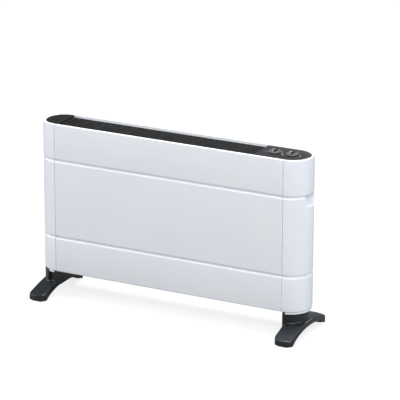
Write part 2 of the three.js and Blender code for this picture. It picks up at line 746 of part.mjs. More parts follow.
// A sheet bridge under the control panel that carries both switches.
function controlBracketGeometry() {
  const left = controlLeft + BRACKET_LEFT_INSET;
  const right = seamX + BRACKET_OUTBOARD;
  const halfDepth = bracketHalfDepth;
  const halfLeg = BRACKET_RIGHT_LEG / 2;
  const shape = new THREE.Shape();
  shape.moveTo(left, -halfDepth);
  shape.lineTo(right, -halfDepth);
  shape.lineTo(right, halfDepth);
  shape.lineTo(left, halfDepth);
  shape.closePath();
  for (const x of [thermostatX, selectorX]) {
    shape.holes.push(circlePath(x, 0, SWITCH_BUSH_RADIUS + FIT_GAP));
  }
  const plate = closedSolid(prism(shape, bracketTop - BRACKET_WALL, bracketTop, 16));
  const legTop = plateTop - PLATE_THICKNESS - FIT_GAP;
  const legBottom = bracketTop - BRACKET_WALL;
  const leftLeg = box(left, left + BRACKET_WALL, -halfDepth, halfDepth, legBottom, legTop);
  const rightLeg = box(right - BRACKET_WALL, right, -halfLeg, halfLeg, legBottom, legTop);
  return toGeometry(plate.add(closedSolid(leftLeg)).add(closedSolid(rightLeg)));
}

function addControls() {
  add('control_bracket', controlBracketGeometry(), galvanised);
  for (const [name, x] of [['thermostat', thermostatX], ['selector', selectorX]]) {
    add(`${name}_knob`, knobGeometry(), blackPlastic, [x, 0, knobBottom]);
    add(`${name}_shaft`, shaftGeometry(), steel, [x, 0, 0]);
    add(`${name}_body`, switchBodyGeometry(), mouldedBrown, [x, 0, 0]);
  }
}

// ---------------------------------------------------------------- hot space inside

function frameOutline() {
  const narrow = insideGroove;
  const wide = insidePanel;
  const rimClear = rimInside - FIT_GAP;
  const [midLow, midHigh] = tongueSpan();
  const half = [
    [narrow, frameBottom],
    [narrow, midLow],
    [wide, midLow],
    [wide, midHigh],
    [narrow, midHigh],
    [Math.min(narrow, rimClear), frameTop],
  ];
  const other = half.map(([y, z]) => [-y, z]).reverse();
  return [...half, ...other];
}

function endFrameGeometry() {
  const shape = shapeFrom(frameOutline());
  for (const name of Object.keys(ELEMENT_HEIGHTS)) {
    shape.holes.push(circlePath(0, elementZ(name), BUSH_RADIUS + FIT_GAP));
  }
  shape.holes.push(circlePath(0, elementZ('upper') + WIRE_HOLE_RISE, WIRE_HOLE_RADIUS));
  return prismAlongX(shape, -FRAME_WALL / 2, FRAME_WALL / 2, 10);
}

// Star section with fins round a hub, drawn in (Y, Z).
function finnedSection() {
  const points = [];
  for (let i = 0; i < FIN_COUNT; i += 1) {
    const middle = (2 * Math.PI * i) / FIN_COUNT;
    const tip = Math.asin(FIN_WALL / 2 / FIN_REACH);
    const root = Math.asin(FIN_WALL / 2 / HUB_RADIUS);
    const corners = [[HUB_RADIUS, -root], [FIN_REACH, -tip], [FIN_REACH, tip], [HUB_RADIUS, root]];
    for (const [radius, lean] of corners) {
      const angle = middle + lean;
      points.push([radius * Math.cos(angle), radius * Math.sin(angle)]);
    }
  }
  return points;
}

function addElements() {
  const left = leftFrameX + FRAME_WALL / 2;
  const right = rightFrameX - FRAME_WALL / 2;
  const section = shapeFrom(finnedSection());
  section.holes.push(circlePath(0, 0, SHEATH_RADIUS + FIT_GAP));
  const finned = prismAlongX(section, left + ELEMENT_END_GAP, right - ELEMENT_END_GAP, 8);
  const sheathLow = left - SHEATH_OVERHANG;
  const sheathHigh = right + SHEATH_OVERHANG;
  const sheath = turned([
    [0, sheathLow - PIN_LENGTH],
    [TERMINAL_RADIUS, sheathLow - PIN_LENGTH],
    [TERMINAL_RADIUS, sheathLow],
    [SHEATH_RADIUS, sheathLow],
    [SHEATH_RADIUS, sheathHigh],
    [TERMINAL_RADIUS, sheathHigh],
    [TERMINAL_RADIUS, sheathHigh + PIN_LENGTH],
    [0, sheathHigh + PIN_LENGTH],
  ], 16).rotateY(Math.PI / 2);
  const flangeBack = FRAME_WALL / 2 + FIT_GAP;
  const bore = SHEATH_RADIUS + FIT_GAP;
  const bush = turned([
    [bore, -BUSH_SPIGOT],
    [BUSH_RADIUS, -BUSH_SPIGOT],
    [BUSH_RADIUS, flangeBack],
    [BUSH_FLANGE, flangeBack],
    [BUSH_FLANGE, flangeBack + BUSH_FLANGE_THICKNESS],
    [bore, flangeBack + BUSH_FLANGE_THICKNESS],
    [bore, -BUSH_SPIGOT],
  ], 16).rotateY(Math.PI / 2);
  for (const name of Object.keys(ELEMENT_HEIGHTS)) {
    const z = elementZ(name);
    add(`${name}_element_fins`, finned, aluminium, [0, 0, z]);
    add(`${name}_element_sheath`, sheath, steel, [0, 0, z]);
    add(`${name}_right_bush`, bush, ceramic, [rightFrameX, 0, z]);
    add(`${name}_left_bush`, bush, ceramic, [leftFrameX, 0, z], [0, 0, Math.PI]);
  }
}

// A folded sheet beside the elements: side -1 at the front, 1 at the rear.
function shieldGeometry(side) {
  const low = bodyBottom + SHIELD_LIFT;
  const high = low + SHIELD_HEIGHT;
  const face = shieldFace;
  const outline = [
    [face, low],
    [face + SHIELD_LEG, low],
    [face + SHIELD_LEG, low + SHIELD_WALL],
    [face + SHIELD_WALL, low + SHIELD_WALL],
    [face + SHIELD_WALL, high - SHIELD_WALL],
    [face + SHIELD_LEG, high - SHIELD_WALL],
    [face + SHIELD_LEG, high],
    [face, high],
  ];
  const x0 = leftFrameX + FRAME_WALL / 2 + FIT_GAP;
  const x1 = rightFrameX - FRAME_WALL / 2 - FIT_GAP;
  return prismAlongX(shapeFrom(outline, side), x0, x1);
}

function cutoutGeometry() {
  const disc = rod(CUTOUT_RADIUS, 0, CUTOUT_HEIGHT);
  const halfWidth = CUTOUT_FLANGE_WIDTH / 2;
  const halfLength = CUTOUT_FLANGE_LENGTH / 2;
  const flange = box(-halfWidth, halfWidth, -halfLength, halfLength, 0, CUTOUT_FLANGE_WALL);
  return toGeometry(closedSolid(disc).add(closedSolid(flange))).rotateY(-Math.PI / 2);
}

function addHotSpace() {
  add('left_end_frame', endFrameGeometry(), galvanised, [leftFrameX, 0, 0]);
  add('right_end_frame', endFrameGeometry(), galvanised, [rightFrameX, 0, 0]);
  addElements();
  add('front_heat_shield', shieldGeometry(-1), galvanised);
  add('rear_heat_shield', shieldGeometry(1), galvanised);
  const cutoutX = rightFrameX - FRAME_WALL / 2 - FIT_GAP;
  add('thermal_cutout', cutoutGeometry(), ceramic, [cutoutX, 0, elementZ('upper') + CUTOUT_RISE]);
  const inletLength = seamX - SEAM_GAP;
  const inlet = slattedPlate(
    -inletLength, inletLength, insideGroove, INLET_FRAME, INLET_BAYS, INLET_BAR, 1, 0,
    inletBottom, inletBottom + INLET_THICKNESS,
  );
  add('inlet_grille', inlet, blackPlastic);
}

// ---------------------------------------------------------------- wiring

const terminalZ = bodyBottom + TERMINAL_LIFT;
const terminalX = rightFrameX + FRAME_WALL / 2 + FIT_GAP;
const terminalFront = TERMINAL_PANEL_GAP - insideGroove;
const firstWell = terminalFront + (TERMINAL_LENGTH - 2 * TERMINAL_PITCH) / 2;
const glandX = seamX - GLAND_INBOARD;
const glandZ = bodyBottom + GLAND_HEIGHT;

function terminalBlockGeometry() {
  const half = TERMINAL_HEIGHT / 2;
  const rear = terminalFront + TERMINAL_LENGTH;
  let solid = closedSolid(box(0, TERMINAL_DEPTH, terminalFront, rear, -half, half));
  for (let i = 0; i < 3; i += 1) {
    const screwWell = rod(TERMINAL_WELL_RADIUS, half / 4, half + 1, 12);
    const y = firstWell + i * TERMINAL_PITCH;
    solid = solid.subtract(closedSolid(screwWell.translate(TERMINAL_DEPTH / 2, y, 0)));
  }
  return toGeometry(solid);
}

function glandGeometry() {
  const inside = bodyRadius - GLAND_INSIDE;
  const outside = bodyRadius + FIT_GAP;
  const end = outside + GLAND_PROUD;
  return turned([
    [GLAND_BORE_RADIUS, inside],
    [GLAND_BODY_RADIUS, inside],
    [GLAND_BODY_RADIUS, outside],
    [GLAND_FLANGE_RADIUS, outside],
    [GLAND_FLANGE_RADIUS, outside + GLAND_FLANGE_WALL],
    [GLAND_BODY_RADIUS, end],
    [GLAND_BORE_RADIUS, end],
    [GLAND_BORE_RADIUS, inside],
  ], 24).rotateX(-Math.PI / 2);
}

function lead(points) {
  const route = new THREE.CatmullRomCurve3(points.map((point) => new THREE.Vector3(...point)));
  const section = new THREE.Shape();
  section.absarc(0, 0, LEAD_RADIUS, 0, 2 * Math.PI, false);
  const options = { steps: LEAD_STEPS, extrudePath: route, curveSegments: 4, bevelEnabled: false };
  return new THREE.ExtrudeGeometry(section, options);
}

// The leads run from blade to blade and hang in soft bends in the space right of the frame.
function addWiring() {
  add('terminal_block', terminalBlockGeometry(), whitePlastic, [terminalX, 0, terminalZ]);
  add('cord_gland', glandGeometry(), blackPlastic, [glandX, 0, glandZ]);
  const bladeBottom = switchTop - SWITCH_HEIGHT - BLADE_LENGTH - LEAD_RADIUS - FIT_GAP;
  const blockTop = terminalZ + TERMINAL_HEIGHT / 2 + LEAD_RADIUS + FIT_GAP;
  const pinX = rightFrameX + SHEATH_OVERHANG + PIN_LENGTH + LEAD_RADIUS + 1;
  const blade = BLADE_SPACING;
  add('live_lead', lead([
    [terminalX + TERMINAL_DEPTH / 2, firstWell, blockTop],
    [terminalX + 20, firstWell + 3, blockTop + 70],
    [thermostatX - 6, firstWell / 2, bladeBottom - 60],
    [thermostatX - blade, 0, bladeBottom],
  ]), leadRed);
  add('switch_lead', lead([
    [thermostatX + blade, 0, bladeBottom],
    [thermostatX + 16, 0, bladeBottom - 22],
    [selectorX - 16, 0, bladeBottom - 22],
    [selectorX - blade, 0, bladeBottom],
  ]), leadRed);
  add('lower_element_lead', lead([
    [pinX, 0, elementZ('lower')],
    [pinX + 14, 6, elementZ('lower') + 40],
    [selectorX + 8, 14, bladeBottom - 120],
    [selectorX + blade, 0, bladeBottom],
  ]), leadBlue);
  add('upper_element_lead', lead([
    [pinX, 0, elementZ('upper')],
    [pinX + 12, 4, elementZ('upper') + 40],
    [selectorX - 14, 6, bladeBottom - 80],
    [selectorX, 0, bladeBottom],
  ]), leadBlue);
}

// ---------------------------------------------------------------- rear fixings

const hangerZ = bodyTop - HANGER_TOP;
const capScrewX = seamX - CAP_TONGUE / 2;

function hangerPlaces() {
  return [-HANGER_SPACING / 2, HANGER_SPACING / 2];
}

function hangerScrewPlaces() {
  const offset = (HANGER_WIDTH - HANGER_FOOT) / 2;
  return hangerPlaces().flatMap((x) => [x - offset, x + offset]);
}

function capScrewHeights() {
  const [low, high] = tongueSpan();
  return [low + CAP_SCREW_INSET, high - CAP_SCREW_INSET];
}

// A top-hat plate that stands off the rear panel, with a keyhole in its raised face.
function hangerGeometry() {
  const half = HANGER_WIDTH / 2;
  const foot = HANGER_FOOT;
  const near = bodyRadius + FIT_GAP;
  const far = near + HANGER_STANDOFF;
  const w = HANGER_WALL;
  const hat = new THREE.Shape();
  hat.moveTo(-half, near);
  hat.lineTo(-half + foot + w, near);
  hat.lineTo(-half + foot + w, far - w);
  hat.lineTo(half - foot - w, far - w);
  hat.lineTo(half - foot - w, near);
  hat.lineTo(half, near);
  hat.lineTo(half, near + w);
  hat.lineTo(half - foot, near + w);
  hat.lineTo(half - foot, far);
  hat.lineTo(-half + foot, far);
  hat.lineTo(-half + foot, near + w);
  hat.lineTo(-half, near + w);
  hat.closePath();
  let solid = closedSolid(prism(hat, -HANGER_HEIGHT / 2, HANGER_HEIGHT / 2));
  const headZ = -KEYHOLE_RISE / 2;
  const slotZ = KEYHOLE_RISE / 2;
  const cutter = (radius, z) => closedSolid(rod(radius, -far - 5, -near, 20)
    .rotateX(Math.PI / 2).translate(0, 0, z));
  const slot = box(-KEYHOLE_SLOT, KEYHOLE_SLOT, near, far + 5, headZ, slotZ);
  solid = solid.subtract(cutter(KEYHOLE_HEAD, headZ));
  solid = solid.subtract(cutter(KEYHOLE_SLOT, slotZ));
  solid = solid.subtract(closedSolid(slot));
  for (const side of [-1, 1]) {
    const x = side * (half - foot / 2);
    const hole = rod(screwHole, -far - 5, -near + 5, 16).rotateX(Math.PI / 2);
    solid = solid.subtract(closedSolid(hole.translate(x, 0, 0)));
  }
  return toGeometry(solid);
}

function addRearFixings() {
  const names = ['left', 'right'];
  hangerPlaces().forEach((x, index) => {
    add(`${names[index]}_wall_hanger`, hangerGeometry(), galvanised, [x, 0, hangerZ]);
  });
  const headY = bodyRadius + 2 * FIT_GAP + HANGER_WALL;
  hangerScrewPlaces().forEach((x, index) => {
    const name = `${names[Math.floor(index / 2)]}_hanger_screw_${(index % 2) + 1}`;
    add(name, screwGeometry(HANGER_SCREW_LENGTH), steel, [x, headY, hangerZ], [Math.PI / 2, 0, 0]);
  });
  for (const [end, side] of [['left', -1], ['right', 1]]) {
    capScrewHeights().forEach((z, index) => {
      const place = [side * capScrewX, bodyRadius + FIT_GAP, z];
      const name = `${end}_cap_screw_${index + 1}`;
      add(name, screwGeometry(CAP_SCREW_LENGTH), steel, place, [Math.PI / 2, 0, 0]);
    });
  }
}

// ---------------------------------------------------------------- the heater

add('front_panel', panelGeometry(-1), whiteEnamel);
add('rear_panel', rearPanelGeometry(), whiteEnamel);
addAtBothEnds('end_cap', endCapGeometry(), whitePlastic);
addTop();
addControls();
addHotSpace();
addWiring();
addRearFixings();
addFeet();

export default heater;
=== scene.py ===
"""Looks of a free-standing panel convector heater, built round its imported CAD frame.

The heater is a long shallow casing with half-round ends on two arched feet. Every size below is
in metres, in the frame's own axes: +X runs along the body towards the controls, the front faces
-Y, and the floor is at Z = 0.
"""
import logging
import math
from collections.abc import Callable, Iterator, Sequence
from contextlib import contextmanager
from dataclasses import dataclass
from enum import Enum

import bmesh
import bpy
from mathutils import Matrix, Vector


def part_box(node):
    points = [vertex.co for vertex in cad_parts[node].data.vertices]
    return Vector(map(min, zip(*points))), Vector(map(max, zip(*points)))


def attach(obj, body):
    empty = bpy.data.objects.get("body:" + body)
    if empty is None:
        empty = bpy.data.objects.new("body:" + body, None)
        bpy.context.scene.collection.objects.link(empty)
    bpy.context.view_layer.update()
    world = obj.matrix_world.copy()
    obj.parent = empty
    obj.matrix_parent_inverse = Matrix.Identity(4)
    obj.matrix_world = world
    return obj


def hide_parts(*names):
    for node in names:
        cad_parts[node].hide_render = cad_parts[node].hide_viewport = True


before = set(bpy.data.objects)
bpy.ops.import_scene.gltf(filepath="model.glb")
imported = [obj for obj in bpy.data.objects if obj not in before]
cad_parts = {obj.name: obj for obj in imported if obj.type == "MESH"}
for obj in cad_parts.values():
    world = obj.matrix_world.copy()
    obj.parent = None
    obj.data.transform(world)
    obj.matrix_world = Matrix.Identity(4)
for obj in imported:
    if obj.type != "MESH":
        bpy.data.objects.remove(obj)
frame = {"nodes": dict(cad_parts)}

log = logging.getLogger("heater")

Piece = bpy.types.Object
Material = bpy.types.Material
Tree = bpy.types.NodeTree
Node = bpy.types.Node
Socket = bpy.types.NodeSocket
Value = Socket | float | tuple
Inputs = dict[str | int, Value]
Pair = tuple[float, float]
Corner = tuple[float, float, float]
Colour = tuple[float, float, float, float]
Test = Callable[[Vector, Vector], bool]

MM = 0.001
NEAR = MM / 10
WELD = 1e-6
FACING = 0.9
LEVEL = 0.999
UP = Vector((0, 0, 1))
HALF_TURN = Matrix.Rotation(math.pi, 4, "Z")
WHITE: Colour = (1.0, 1.0, 1.0, 1.0)


class Body(Enum):
    """The bodies that pieces ride on."""

    CASE = "heater_body"
    THERMOSTAT = "thermostat_dial"
    SELECTOR = "selector_dial"


class Slot(Enum):
    """The record's material slots."""

    ENAMEL = "white_enamel"
    WHITE_PLASTIC = "white_plastic"
    BLACK_PLASTIC = "black_plastic"
    GREY_PLASTIC = "grey_plastic"
    FOOT_PLASTIC = "foot_plastic"
    RUBBER = "rubber"
    ALUMINIUM = "aluminium"
    GALVANISED = "galvanised"
    STEEL = "steel"
    CERAMIC = "ceramic"
    BROWN = "moulded_brown"
    RED_LEAD = "lead_red"
    BLUE_LEAD = "lead_blue"


# ---------------------------------------------------------------- small workshop helpers


def only(*pieces: Piece) -> None:
    """Selects these pieces alone, in object mode, and makes the first one active."""
    if bpy.context.object and bpy.context.object.mode != "OBJECT":
        bpy.ops.object.mode_set(mode="OBJECT")
    bpy.ops.object.select_all(action="DESELECT")
    for piece in pieces:
        piece.select_set(True)
        bpy.context.view_layer.objects.active = pieces[0]


@contextmanager
def editing(piece: Piece, mode: str = "FACE", whole: bool = False) -> Iterator[None]:
    """Opens a piece in edit mode with all or nothing selected, and closes it afterwards."""
    only(piece)
    bpy.ops.object.mode_set(mode="EDIT")
    bpy.ops.mesh.select_mode(type=mode)
    bpy.ops.mesh.select_all(action="SELECT" if whole else "DESELECT")
    yield
    bpy.ops.object.mode_set(mode="OBJECT")


def pick_faces(piece: Piece, wanted: Test) -> None:
    """Selects the faces whose centre and normal pass a test, in edit mode."""
    net = bmesh.from_edit_mesh(piece.data)
    for face in net.faces:
        if wanted(face.calc_center_median(), face.normal):
            face.select_set(True)
    bmesh.update_edit_mesh(piece.data)


def rounded_edges(piece: Piece, wanted: Test, offset: float, segments: int) -> Piece:
    """Rounds the edges whose two ends pass a test, as far as the offset to either side."""
    with editing(piece, "EDGE"):
        net = bmesh.from_edit_mesh(piece.data)
        for edge in net.edges:
            if wanted(edge.verts[0].co, edge.verts[1].co):
                edge.select_set(True)
        bmesh.update_edit_mesh(piece.data)
        bpy.ops.mesh.bevel(offset=offset, segments=segments, affect="EDGES")
    return piece


def extrude(along: Sequence[float]) -> None:
    """Extrudes what is selected, in edit mode."""
    bpy.ops.mesh.extrude_region_move(TRANSFORM_OT_translate={"value": along})


def added(name: str) -> Piece:
    """Names the piece that was added last, and moves its place and turn into its mesh."""
    piece = bpy.context.object
    piece.name = name
    only(piece)
    bpy.ops.object.transform_apply(location=True, rotation=True, scale=True)
    return piece


def closed(piece: Piece) -> bool:
    """Whether every edge of a piece joins two faces."""
    net = bmesh.new()
    net.from_mesh(piece.data)
    whole = all(len(edge.link_faces) == 2 for edge in net.edges)
    net.free()
    return whole


def mend(piece: Piece) -> Piece:
    """Merges double points and turns all faces outwards."""
    with editing(piece, "VERT", whole=True):
        bpy.ops.mesh.remove_doubles(threshold=WELD)
        bpy.ops.mesh.normals_make_consistent(inside=False)
    return piece


def drawn(name: str, points: Sequence[Vector]) -> Piece:
    """Draws a closed outline point by point and fills it.

    Args:
        name: The piece's name.
        points: The outline's corners in order, without the first one again.

    Returns:
        A piece of one flat face.
    """
    only()
    bpy.ops.mesh.primitive_plane_add(size=MM, location=points[0])
    bpy.ops.object.mode_set(mode="EDIT")
    bpy.ops.mesh.select_mode(type="VERT")
    bpy.ops.mesh.select_all(action="SELECT")
    bpy.ops.mesh.merge(type="CENTER")
    for start, end in zip(points, points[1:]):
        extrude(end - start)
    bpy.ops.mesh.select_all(action="SELECT")
    bpy.ops.mesh.edge_face_add()
    bpy.ops.object.mode_set(mode="OBJECT")
    return added(name)


def pushed(piece: Piece, along: Sequence[float]) -> Piece:
    """Extrudes a flat piece into a solid."""
    with editing(piece, whole=True):
        extrude(along)
    return mend(piece)


def slab(name: str, outline: Sequence[Pair], level: float, rise: float) -> Piece:
    """Extrudes an outline, drawn at a level, upwards into a solid."""
    return pushed(drawn(name, [Vector((u, v, level)) for u, v in outline]), (0, 0, rise))


def spun(piece: Piece, centre: Vector, axis: Vector, angle: float, steps: int) -> Piece:
    """Spins a flat section round an axis into a solid."""
    with editing(piece, whole=True):
        bpy.ops.mesh.spin(steps=steps, angle=-angle, center=centre, axis=axis)
    if angle >= math.tau:
        with editing(piece, whole=True):
            bpy.ops.mesh.remove_doubles(threshold=WELD)
            bpy.ops.mesh.select_all(action="DESELECT")
            bpy.ops.mesh.select_face_by_sides(number=4, type="GREATER")
            bpy.ops.mesh.delete(type="FACE")
    return mend(piece)


def block(name: str, low: Vector, high: Vector) -> Piece:
    """Adds a box between two corners."""
    only()
    bpy.ops.mesh.primitive_cube_add(size=1, location=(low + high) / 2, scale=high - low)
    return added(name)


def disc(name: str, centre: Vector, radius: float, height: float, sides: int = 48) -> Piece:
    """Adds an upright cylinder on the middle of its lower face."""
    only()
    middle = centre + UP * (height / 2)
    bpy.ops.mesh.primitive_cylinder_add(
        vertices=sides, radius=radius, depth=height, location=middle)
    return added(name)


def modify(piece: Piece, kind: str, **settings: object) -> Piece:
    """Adds a modifier, sets it and applies it."""
    only(piece)
    modifier = piece.modifiers.new(kind.lower(), kind)
    for key, value in settings.items():
        setattr(modifier, key, value)
    bpy.ops.object.modifier_apply(modifier=modifier.name)
    return piece


def combine(piece: Piece, tool: Piece, operation: str) -> Piece:
    """Joins to, cuts from or trims a solid with a tool, which is used up, by a boolean."""
    modify(piece, "BOOLEAN", operation=operation, object=tool, solver="EXACT")
    bpy.data.objects.remove(tool, do_unlink=True)
    return piece


def smoothed(piece: Piece, angle: float = 40) -> Piece:
    """Shades a piece smooth, but for edges sharper than an angle in degrees."""
    only(piece)
    bpy.ops.object.shade_smooth_by_angle(angle=math.radians(angle))
    return piece


def bevelled(piece: Piece, width: float, segments: int, angle: float) -> Piece:
    """Rounds the edges of a piece that are sharper than an angle in degrees."""
    return modify(
        piece, "BEVEL", width=width, segments=segments, limit_method="ANGLE",
        angle_limit=math.radians(angle), use_clamp_overlap=True, miter_outer="MITER_ARC",
    )


def softened(
    piece: Piece, width: float, segments: int = 2, angle: float = 35, smooth: float = 40,
) -> Piece:
    """Rounds edges sharper than an angle, and shades smooth what is left below another."""
    return smoothed(bevelled(piece, width, segments, angle), smooth)


def joined(name: str, pieces: Sequence[Piece]) -> Piece:
    """Joins pieces into one object, which is the first of them."""
    only(*pieces)
    bpy.ops.object.join()
    pieces[0].name = name
    return pieces[0]


def copied(piece: Piece, name: str, place: Matrix) -> Piece:
    """Copies a piece with a mesh of its own and puts it somewhere else."""
    twin = piece.copy()
    twin.data = piece.data.copy()
    twin.name = name
    bpy.context.scene.collection.objects.link(twin)
    twin.data.transform(place)
    return twin


def node_copy(node: str, name: str) -> Piece:
    """Copies a CAD node as a merged, tidy mesh."""
    twin = bpy.data.objects.new(name, frame["nodes"][node].data.copy())
    bpy.context.scene.collection.objects.link(twin)
    normals = twin.data.attributes.get("custom_normal")
    if normals:
        twin.data.attributes.remove(normals)
    with editing(twin, "VERT", whole=True):
        bpy.ops.mesh.remove_doubles(threshold=10 * WELD)
        bpy.ops.mesh.dissolve_limited(angle_limit=math.radians(1))
        bpy.ops.mesh.customdata_custom_splitnormals_clear()
    return twin


def arc(centre: Pair, radius: float, start: float, end: float, steps: int) -> list[Pair]:
    """Points on an arc, both ends included."""
    points = []
    for i in range(steps + 1):
        angle = math.radians(start + (end - start) * i / steps)
        points.append((centre[0] + radius * math.cos(angle), centre[1] + radius * math.sin(angle)))
    return points


def rounded(corners: Sequence[Corner], steps: int) -> list[Pair]:
    """Rounds the corners of a closed outline.

    Args:
        corners: Each corner's two coordinates and its rounding radius.
        steps: Chords round a corner.

    Returns:
        The outline's points.
    """
    points = []
    for i, (u, v, radius) in enumerate(corners):
        if radius <= 0:
            points.append((u, v))
            continue
        here = Vector((u, v))
        before = (Vector(corners[i - 1][:2]) - here).normalized()
        after = (Vector(corners[(i + 1) % len(corners)][:2]) - here).normalized()
        half = before.angle(after) / 2
        centre = here + (before + after).normalized() * radius / math.sin(half)
        start = here + before * radius / math.tan(half) - centre
        end = here + after * radius / math.tan(half) - centre
        sweep = start.angle_signed(end)
        for k in range(steps + 1):
            spoke = Matrix.Rotation(-sweep * k / steps, 2) @ start
            points.append((centre.x + spoke.x, centre.y + spoke.y))
    return points


# ---------------------------------------------------------------- shared surface effects


class Graph:
    """A shader tree with short ways to add, feed and link its nodes."""

    def __init__(self, tree: Tree) -> None:
        """Takes on a tree."""
        self.tree = tree

    def feed(self, node: Node, inputs: Inputs) -> None:
        """Links sockets to a node's inputs, and sets plain values on the others."""
        for key, value in inputs.items():
            if isinstance(value, Socket):
                self.tree.links.new(value, node.inputs[key])
            else:
                node.inputs[key].default_value = value

    def node(self, kind: str, inputs: Inputs | None = None, **settings: object) -> Node:
        """Adds a node of a ShaderNode kind, feeds its inputs and sets its own settings."""
        made = self.tree.nodes.new(f"ShaderNode{kind}")
        for key, value in settings.items():
            setattr(made, key, value)
        self.feed(made, inputs or {})
        return made

    def maths(self, operation: str, first: Value, second: Value) -> Socket:
        """Adds a sum of two sockets or numbers."""
        return self.node("Math", {0: first, 1: second}, operation=operation).outputs[0]


class Effect(Graph):
    """A shader node group with named inputs and outputs, built once and used by many finishes."""

    def __init__(self, name: str, inputs: dict[str, float], outputs: Sequence[str]) -> None:
        """Starts an empty group with number sockets."""
        super().__init__(bpy.data.node_groups.new(name, "ShaderNodeTree"))
        number = "NodeSocketFloat"
        for label, value in inputs.items():
            socket = self.tree.interface.new_socket(label, in_out="INPUT", socket_type=number)
            socket.default_value = value
        for label in outputs:
            self.tree.interface.new_socket(label, in_out="OUTPUT", socket_type=number)
        self.given = self.tree.nodes.new("NodeGroupInput").outputs
        self.sink = self.tree.nodes.new("NodeGroupOutput")
        self.place = self.node("TexCoord").outputs["Object"]

    def noise(self, place: Socket, scale: Socket, detail: float, rough: float) -> Socket:
        """Adds a noise pattern, 0 to 1."""
        inputs = {"Vector": place, "Scale": scale, "Detail": detail, "Roughness": rough}
        return self.node("TexNoise", inputs).outputs["Fac"]

    def swing(self, pattern: Socket, amount: Socket) -> Socket:
        """Shifts a pattern from 0 .. 1 to both sides of 0, and scales it."""
        return self.maths("MULTIPLY", self.maths("SUBTRACT", pattern, 0.5), amount)

    def closed(self, **results: Socket) -> Tree:
        """Sends the results to the outputs and gives the group."""
        self.feed(self.sink, results)
        return self.tree


def fine_grain() -> Tree:
    """Fine moulded or sprayed grain: a height, and how far it shades the surface."""
    effect = Effect("fine_grain", {"Scale": 2500.0, "Contrast": 1.0}, ["Height", "Shade"])
    scale = effect.given["Scale"]
    fine = effect.noise(effect.place, scale, 3.0, 0.55)
    coarse = effect.noise(effect.place, effect.maths("MULTIPLY", scale, 0.31), 2.0, 0.5)
    height = effect.maths("MULTIPLY", effect.maths("ADD", fine, coarse), 0.5)
    return effect.closed(Height=height, Shade=effect.swing(height, effect.given["Contrast"]))


def slow_cloud() -> Tree:
    """Slow unevenness of a sheet, a coat or a moulding, from -1 to 1 times its amount."""
    effect = Effect("slow_cloud", {"Scale": 12.0, "Amount": 0.1}, ["Value"])
    slow = effect.noise(effect.place, effect.given["Scale"], 2.0, 0.45)
    return effect.closed(
        Value=effect.swing(slow, effect.maths("MULTIPLY", effect.given["Amount"], 2.0)))


def settled_dust_and_sheen() -> Tree:
    """Settled dust and a painted sheen on faces that look up, broken by noise, from 0 to its
    amount: it lightens the tops as light falling from above would.
    """
    effect = Effect("settled_dust_and_sheen", {"Scale": 60.0, "Amount": 0.1}, ["Mask"])
    normal = effect.node("NewGeometry").outputs["Normal"]
    upward = effect.maths("MAXIMUM", effect.node("SeparateXYZ", {0: normal}).outputs["Z"], 0.0)
    broken = effect.noise(effect.place, effect.given["Scale"], 4.0, 0.6)
    dust_and_sheen = effect.maths("MULTIPLY", upward, broken)
    return effect.closed(Mask=effect.maths("MULTIPLY", dust_and_sheen, effect.given["Amount"]))


def rolled_streaks() -> Tree:
    """Drawn or rolled metal: streaks along X, as a height and a shade."""
    effect = Effect("rolled_streaks", {"Scale": 900.0, "Contrast": 1.0}, ["Height", "Shade"])
    stretch = effect.node("Mapping", {"Vector": effect.place, "Scale": (0.03, 1.0, 1.0)})
    streaks = effect.noise(stretch.outputs["Vector"], effect.given["Scale"], 3.0, 0.5)
    return effect.closed(Height=streaks, Shade=effect.swing(streaks, effect.given["Contrast"]))


def zinc_spangle() -> Tree:
    """Zinc crystals: one random value for each small cell."""
    effect = Effect("zinc_spangle", {"Scale": 160.0, "Contrast": 1.0}, ["Shade"])
    cells = effect.node("TexVoronoi", {"Vector": effect.place, "Scale": effect.given["Scale"]})
    shade = effect.node("SeparateColor", {0: cells.outputs["Color"]}).outputs[0]
    return effect.closed(Shade=effect.swing(shade, effect.given["Contrast"]))


class Effects:
    """All the shared effects, built once."""

    def __init__(self) -> None:
        """Builds the groups."""
        self.grain = fine_grain()
        self.cloud = slow_cloud()
        self.dust_and_sheen = settled_dust_and_sheen()
        self.streaks = rolled_streaks()
        self.spangle = zinc_spangle()


# ---------------------------------------------------------------- finishes


def srgb(red: int, green: int, blue: int) -> Colour:
    """Turns a colour written in 0..255 steps into linear light."""
    def linear(step: int) -> float:
        """Linear light of one channel."""
        share = step / 255
        return share / 12.92 if share <= 0.04045 else ((share + 0.055) / 1.055) ** 2.4

    return linear(red), linear(green), linear(blue), 1.0


class Coat(Graph):
    """A material being built on a Principled shader."""

    def __init__(self, name: str) -> None:
        """Starts the material."""
        self.material = bpy.data.materials.new(name)
        self.material.use_nodes = True
        super().__init__(self.material.node_tree)
        self.shader = self.tree.nodes["Principled BSDF"]

    def effect(self, group: Tree, **values: float) -> bpy.types.bpy_prop_collection:
        """Places a shared effect with its own values, and gives its outputs."""
        return self.node("Group", values, node_tree=group).outputs

    def blend(self, mask: Socket, low: Value, high: Value) -> Socket:
        """Mixes two colours by a mask, the low one where it is 0."""
        return self.node("Mix", {0: mask, 6: low, 7: high}, data_type="RGBA").outputs[2]

    def surface(
        self, colour: Socket, roughness: float, pattern: bpy.types.bpy_prop_collection,
        strength: float, distance: float,
    ) -> None:
        """Feeds the shader a colour, and roughness and bump that follow an effect's pattern."""
        heights = {"Height": pattern["Height"], "Strength": strength, "Distance": distance}
        self.feed(self.shader, {
            "Base Color": colour,
            "Roughness": self.maths("ADD", roughness, pattern["Shade"]),
            "Normal": self.node("Bump", heights).outputs[0],
        })


